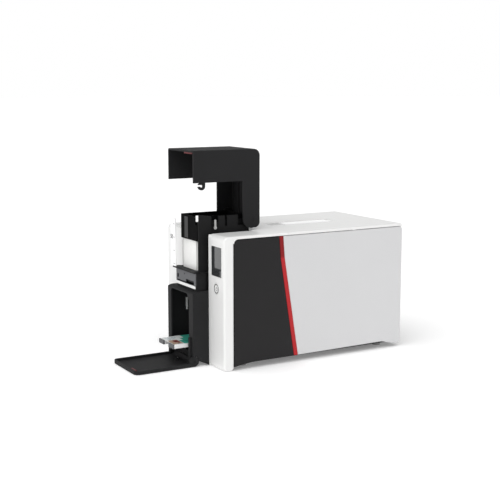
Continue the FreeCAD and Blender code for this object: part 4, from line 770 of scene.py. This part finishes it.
# %% rear panel and vents
VENT_LEFT_MM = -62
VENT_LOW_MM = (92, 128)
VENT_MM = Vector((3.2, 7, 24))
VENT_DEPTH_MM = 5
VENT_STEP_MM = 8.2
VENTS = 16
face_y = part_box("rear_panel")[1].y
cutters = []
for low_mm in VENT_LOW_MM:
    first = from_corner((0, face_y, 0), (VENT_LEFT_MM, -VENT_DEPTH_MM, low_mm))
    vent = block(first, first + VENT_MM * MM)
    cutters.append(row(vent, VENTS, (VENT_STEP_MM, 0, 0), chassis_abs))
rear_mesh = carved(merged("rear_panel"), joined(cutters))
dress_with("rear_panel", rounded(rear_mesh, edge_mm=0.35, segments=2), chassis_abs)
print("vents", len(cutters) * VENTS)

# %% [markdown]
# Four screws hold the back. They are cross-headed so that a driver centres itself, and each cross
# is stamped into the head: two crossed cutters sink it here, after the head has its rounding.

# %% rear screws
HEAD_RADIUS_MM = 3.2
CROSS_MM = (Vector((1.9, 0.9, 0.35)), Vector((0.35, 0.9, 1.9)))
screw_low, screw_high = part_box("rear_screws")
screw_mesh = rounded(merged("rear_screws"), edge_mm=0.4, segments=3)
screws = 0
for x in (screw_low.x + HEAD_RADIUS_MM * MM, screw_high.x - HEAD_RADIUS_MM * MM):
    for z in (screw_low.z + HEAD_RADIUS_MM * MM, screw_high.z - HEAD_RADIUS_MM * MM):
        middle = Vector((x, screw_high.y, z))
        for reach in CROSS_MM:
            screw_mesh = carved(screw_mesh, block(middle - reach * MM, middle + reach * MM))
        screws += 1
dress_with("rear_screws", screw_mesh, steel)
print("screws with a cross", screws)

# %% [markdown]
# The white plate beside the stack has a scale: four lines show how many cards are left, and the
# third from below is numbered 50. It is pad printed in grey, so the lines are thin raised ink. A
# text curve makes the number. It is turned to face the front, made a mesh, and only then moved.

# %% scale on the plate
INK_PROUD_MM = 0.02
TICK_MM = Vector((5.4, 0.06, 0.7))
TICK_FROM_MM = (-8.0, -INK_PROUD_MM, 4.0)
TICK_STEP_MM = 22
TICKS = 4
plate_low, plate_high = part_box("scale_plate")
dress("scale_plate", gloss_white_and_painted_light, edge_mm=0.3, segments=2)
tick_low = from_corner((plate_high.x, plate_low.y, plate_low.z), TICK_FROM_MM)
tick = block(tick_low, tick_low + TICK_MM * MM)
ticks = row(tick, TICKS, (0, 0, TICK_STEP_MM), mark_ink)
fit(ticks, "scale_lines", "scale_plate", mark_ink)
print("lines on the scale", TICKS)

# %% number on the plate
NUMBER_MM = 9.5
NUMBER_THICK_MM = 0.03
NUMBER_BOLD_MM = 0.2
NUMBER_FROM_MM = (0.4, -INK_PROUD_MM, 41.5)
words = bpy.data.curves.new("fifty", "FONT")
words.body = "50"
words.size = NUMBER_MM * MM
words.extrude = NUMBER_THICK_MM * MM
words.offset = NUMBER_BOLD_MM * MM
number = bpy.data.objects.new("fifty", words)
number.location = from_corner((plate_low.x, plate_low.y, tick_low.z), NUMBER_FROM_MM)
number.rotation_euler = (math.pi / 2, 0, 0)
scene.collection.objects.link(number)
bpy.context.view_layer.update()
turned = number.matrix_world.copy()
number_mesh = baked(number)
number_mesh.transform(turned)
fit(number_mesh, "scale_number", "scale_plate", mark_ink)
print("number", words.body, "with", len(number_mesh.polygons), "faces")

# %% [markdown]
# The grey plate over the single card slot is a thin moulding held by the slot block. A sensor
# looks out through a small window beside the slot, so a shallow hole is cut for it.

# %% slot face
EYE_MM = Vector((3.4, 1.7, 2.4))
EYE_FROM_MM = (29.5, -0.5, -6.4)
face_low, face_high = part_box("slot_face_plate")
eye_low = from_corner((face_low.x, face_low.y, face_high.z), EYE_FROM_MM)
eye = block(eye_low, eye_low + EYE_MM * MM)
face_mesh = rounded(carved(merged("slot_face_plate"), eye), edge_mm=0.25, segments=2)
dress_with("slot_face_plate", face_mesh, slot_grey)
print("slot face with", len(face_mesh.polygons), "faces")

# %% [markdown]
# The power button is a white cap with a printed ring and a standby mark: an open arc and a short
# line, the plain sign for power. Arcs are drawn as flat bands with a little thickness.

# %% power button
INK_MM = 0.05
SEAM_MM = 0.001
RING_RADIUS_MM = 6.9
RING_WIDE_MM = 1.6
SIGN_RADIUS_MM = 2.7
SIGN_WIDE_MM = 0.7
SIGN_FROM_MM = Vector((1.2, 0, -0.3))
SIGN_DEGREES = (-235, 55)
STROKE_MM = Vector((0.7, INK_MM, 3.4))
STROKE_FROM_MM = Vector((0.85, -INK_MM, 0.4))


def arc(centre, radius_mm, width_mm, begin, end, steps=40):
    """A flat band along an arc in the front plane, from one angle to another in degrees."""
    form = bmesh.new()
    rings = []
    for number in range(steps + 1):
        angle = math.radians(begin + (end - begin) * number / steps)
        ring = []
        for away in (radius_mm - width_mm / 2, radius_mm + width_mm / 2):
            for lift in (0.0, -INK_MM):
                offset = Vector((away * math.cos(angle), lift, away * math.sin(angle)))
                ring.append(form.verts.new(centre + offset * MM))
        rings.append(ring)
    order = (0, 1, 3, 2)
    for first, second in zip(rings, rings[1:]):
        for k in range(4):
            here, there = order[k], order[(k + 1) % 4]
            form.faces.new((first[here], first[there], second[there], second[here]))
    if abs(end - begin) < 360:
        for ring in (rings[0], rings[-1]):
            form.faces.new([ring[k] for k in order])
    bmesh.ops.remove_doubles(form, verts=form.verts, dist=SEAM_MM * MM)
    bmesh.ops.recalc_face_normals(form, faces=form.faces)
    return as_mesh(form, "arc")


cap_low, cap_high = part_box("power_button")
cap_centre = Vector(((cap_low.x + cap_high.x) / 2, cap_low.y, (cap_low.z + cap_high.z) / 2))
ring_band = arc(cap_centre, RING_RADIUS_MM, RING_WIDE_MM, 0, 360, steps=64)
sign_band = arc(cap_centre + SIGN_FROM_MM * MM, SIGN_RADIUS_MM, SIGN_WIDE_MM, *SIGN_DEGREES)
stroke_low = cap_centre + STROKE_FROM_MM * MM
stroke = block(stroke_low, stroke_low + STROKE_MM * MM)
mark = joined([ring_band, sign_band, stroke])
fit(mark, "power_mark", "power_button", mark_ink)
print("power mark with", len(mark.polygons), "faces")

# %% [markdown]
# The lid is lifted by a long hollow grip with a polished inlay, whiter than the lid so that it also
# paints the highlight in the grip, and a button in front of the grip lets it go. Ridges on the
# button tell the finger where to push. They are moulded in one with it, so each ridge starts a
# little below the button's top.

# %% lid grip and button
RIDGES = 6
RIDGE_STEP_MM = 2.4
RIDGE_LOW_MM = (3, 4, -0.15)
RIDGE_HIGH_MM = (-3, 0.9, 0.35)
button_low, button_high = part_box("lid_release_button")
ridge_low = from_corner((button_low.x, button_low.y, button_high.z), RIDGE_LOW_MM)
ridge_high = from_corner((button_high.x, ridge_low.y, button_high.z), RIDGE_HIGH_MM)
ridge = block(ridge_low, ridge_high, round_mm=0.2)
ridges = row(ridge, RIDGES, (0, RIDGE_STEP_MM, 0), white_abs)
fit(ridges, "button_ridges", "lid_release_button", white_abs)

INLAY_LOW_MM = (-3.2, 3, -1.2)
INLAY_HIGH_MM = (3.2, 97, -0.5)
lid_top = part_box("top_lid")[1].z
inlay_low = from_corner((button_low.x, button_high.y, lid_top), INLAY_LOW_MM)
inlay_high = from_corner((button_high.x, button_high.y, lid_top), INLAY_HIGH_MM)
# the inlay is partly a painted highlight: its white is brighter than the lid's
fit(block(inlay_low, inlay_high, round_mm=0.25), "grip_inlay", "top_lid", gloss_white_and_painted_light)
print("button ridges", RIDGES)

# %% [markdown]
# A toothed belt can't slip, so the card stays in step with the print head. Its teeth have the
# common pitch of 2.03 mm and sit on the inner side of both straight runs. The network socket at
# the back holds a row of brass contacts.

# %% belt teeth and contacts
TOOTH_STEP_MM = 2.03
TOOTH_MM = Vector((0, 1.0, 0.45))
END_MM = 9
LOW_RUN_MM = 1.4
HIGH_RUN_MM = -1.85
belt_low, belt_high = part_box("drive_belt")
belt_wide = Vector((belt_high.x - belt_low.x, 0, 0))
straight = belt_high.y - belt_low.y - 2 * END_MM * MM
teeth = int(straight / (TOOTH_STEP_MM * MM))
for name, z, lift_mm in (
    ("belt_teeth_low", belt_low.z, LOW_RUN_MM),
    ("belt_teeth_high", belt_high.z, HIGH_RUN_MM),
):
    first = from_corner((belt_low.x, belt_low.y, z), (0, END_MM, lift_mm))
    tooth = block(first, first + TOOTH_MM * MM + belt_wide)
    fit(row(tooth, teeth, (0, TOOTH_STEP_MM, 0), roller_rubber), name, "drive_belt", roller_rubber)

PIN_MM = Vector((0.5, 6.0, 0.4))
PIN_FROM_MM = (2.4, -11, 8.4)
PIN_STEP_MM = 1.3
PINS = 8
socket_low, socket_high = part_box("rear_sockets")
pin_low = from_corner((socket_low.x, socket_high.y, socket_low.z), PIN_FROM_MM)
pin = block(pin_low, pin_low + PIN_MM * MM)
fit(row(pin, PINS, (PIN_STEP_MM, 0, 0), brass), "network_pins", "rear_sockets", brass)
print("belt teeth", 2 * teeth, "contacts", PINS)

# %% [markdown]
# Ribs stiffen the cover's thin back wall, because a rib costs less plastic than a thicker wall,
# and a rib on the front of the weight gives the fingers a hold. Both are painted a touch lighter
# than the faces round them: a painted highlight for the light that raised edges catch.

# %% ribs
RIB_MM = Vector((1.2, 1.6, 100))
RIB_FROM_MM = (3, -4.4, 12)
RIB_STEP_MM = 22
RIBS = 3
cover_low, cover_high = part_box("feeder_cover")
rib_low = from_corner((cover_low.x, cover_high.y, cover_low.z), RIB_FROM_MM)
rib = block(rib_low, rib_low + RIB_MM * MM, round_mm=0.3)
fit(row(rib, RIBS, (RIB_STEP_MM, 0, 0), rib_black_painted_highlight), "cover_back_ribs", "feeder_cover", rib_black_painted_highlight)

GRIP_LOW_MM = (15, -0.5, 1.5)
GRIP_HIGH_MM = (14, 2, -2)
weight_low, weight_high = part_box("card_weight")
grip_low = from_corner(weight_low, GRIP_LOW_MM)
grip_high = from_corner((grip_low.x, weight_low.y, weight_high.z), GRIP_HIGH_MM)
grip = block(grip_low, grip_high, round_mm=0.8, segments=3)
fit(grip, "weight_grip_rib", "card_weight", rib_black_painted_highlight)
print("cover ribs", RIBS)

# %% [markdown]
# Three small white parts stand out against the black: a finger beside the weight that shows how
# high the stack is, a white plate in the slot in the hopper's side, which paints the light seen
# through that slot, and a nub on the door. Each is one block with soft edges.

# %% finger, insert and nub
FINGER_MM = Vector((1.4, 4.4, 10.2))
FINGER_FROM_MM = (-1.2, 4.4, -10.4)
wall_low, wall_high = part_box("feeder_frame")
finger_low = from_corner((wall_high.x, wall_low.y, wall_high.z), FINGER_FROM_MM)
finger = block(finger_low, finger_low + FINGER_MM * MM, round_mm=0.6, segments=3)
fit(finger, "stack_level_finger", "feeder_frame", gloss_white_and_painted_light)

# the plate in the side slot is painted light: it stands for the light seen through the slot
SLOT_LIGHT_MM = Vector((1.8, 4.0, 21.2))
SLOT_LIGHT_FROM_MM = Vector((0.6, 31.7, 75.0))
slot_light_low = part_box("hopper_box")[0] + SLOT_LIGHT_FROM_MM * MM
slot_light_plate = block(slot_light_low, slot_light_low + SLOT_LIGHT_MM * MM, round_mm=0.3)
fit(slot_light_plate, "side_slot_insert", "hopper_box", gloss_white_and_painted_light)

NUB_MM = Vector((3.2, 3.2, 1.6))
NUB_FROM_MM = (35, -13.6, 1.9)
door_low, door_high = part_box("hopper_door")
nub_low = from_corner((door_low.x, door_high.y, door_low.z), NUB_FROM_MM)
nub = block(nub_low, nub_low + NUB_MM * MM, round_mm=0.6, segments=3)
fit(nub, "door_stop_nub", "hopper_door", gloss_white_and_painted_light)
print("faces of the three", [len(mesh.polygons) for mesh in (finger, slot_light_plate, nub)])

# %% [markdown]
# The studio. The photograph has a white ground that runs into a white background and soft light
# from all round, brighter from above. A large floor does the first, and glows a little so that it
# stays white. The sky is white only in a low band round the horizon and dimmer above it, as in a
# room with white walls and a dark ceiling, so that dark plastic seen at a low angle keeps its
# tone. One very wide sun stands for the big overhead softbox: it lights the floor alike
# everywhere.

# %% floor and light
FLOOR_REACH = 40.0
FLOOR_GLOW = 0.18
SKY = (("From Min", 0.11), ("From Max", 0.3), ("To Min", 1.0), ("To Max", 0.42))
SOFTBOX_POWER = 1.9
SOFTBOX_DEGREES = 75
SOFTBOX_FROM = Vector((0.3, -0.38, 0.88))
floor_form = bmesh.new()
bmesh.ops.create_grid(floor_form, x_segments=1, y_segments=1, size=FLOOR_REACH)
floor_mesh = as_mesh(floor_form, "floor")
floor = bpy.data.objects.new("floor", floor_mesh)
scene.collection.objects.link(floor)
paper, _, paper_body, _ = start("paper_backdrop", Roughness=0.9)
paper_body.inputs["Base Color"].default_value = colour("#FAFAFA")
paper_body.inputs["Emission Color"].default_value = colour("#FFFFFF")
paper_body.inputs["Emission Strength"].default_value = FLOOR_GLOW
floor_mesh.materials.append(paper)

world = bpy.data.worlds.new("studio")
world.use_nodes = True
scene.world = world
sky = world.node_tree
aim = add(sky, "ShaderNodeTexCoord").outputs["Generated"]
rise = add(sky, "ShaderNodeSeparateXYZ", Vector=aim).outputs["Z"]
band = add(sky, "ShaderNodeMapRange", {"interpolation_type": "SMOOTHSTEP"}, Value=rise)
for label, value in SKY:
    band.inputs[label].default_value = value
sky.nodes["Background"].inputs["Color"].default_value = (1, 1, 1, 1)
sky.links.new(band.outputs["Result"], sky.nodes["Background"].inputs["Strength"])

lamp = bpy.data.lights.new("overhead_softbox", "SUN")
lamp.energy = SOFTBOX_POWER
lamp.angle = math.radians(SOFTBOX_DEGREES)
overhead = bpy.data.objects.new("overhead_softbox", lamp)
overhead.rotation_euler = SOFTBOX_FROM.to_track_quat("Z", "Y").to_euler()
scene.collection.objects.link(overhead)
print("sky dims above a rise of", SKY[0][1])

# %% [markdown]
# The camera stands where the photograph was taken from. Its place and turn were found by lining up
# the case's corners, and its lens follows from the focal length in pixels of that picture.

# %% camera
CAMERA_PLACE = Vector((1.502, -0.8652, 0.4479))
YAW = math.radians(60.19)
PITCH = math.radians(8.95)
FOCAL_PIXELS = 1033
PHOTO_PIXELS = 500
SENSOR_MM = 36.0
SIGHT = 50
lens = bpy.data.cameras.new("photo_camera")
lens.sensor_width = SENSOR_MM
lens.lens = FOCAL_PIXELS / PHOTO_PIXELS * lens.sensor_width
lens.clip_end = SIGHT
camera = bpy.data.objects.new("photo_camera", lens)
forward = math.cos(PITCH)
view_line = Vector((-math.sin(YAW) * forward, math.cos(YAW) * forward, -math.sin(PITCH)))
camera.location = CAMERA_PLACE
camera.rotation_euler = view_line.to_track_quat("-Z", "Y").to_euler()
scene.collection.objects.link(camera)
scene.camera = camera
scene.view_settings.view_transform = "Standard"
print("lens", round(lens.lens, 1), "mm")

# %% [markdown]
# Last, the scene's view layer is brought up to date.

# %% update the scene
bpy.context.view_layer.update()
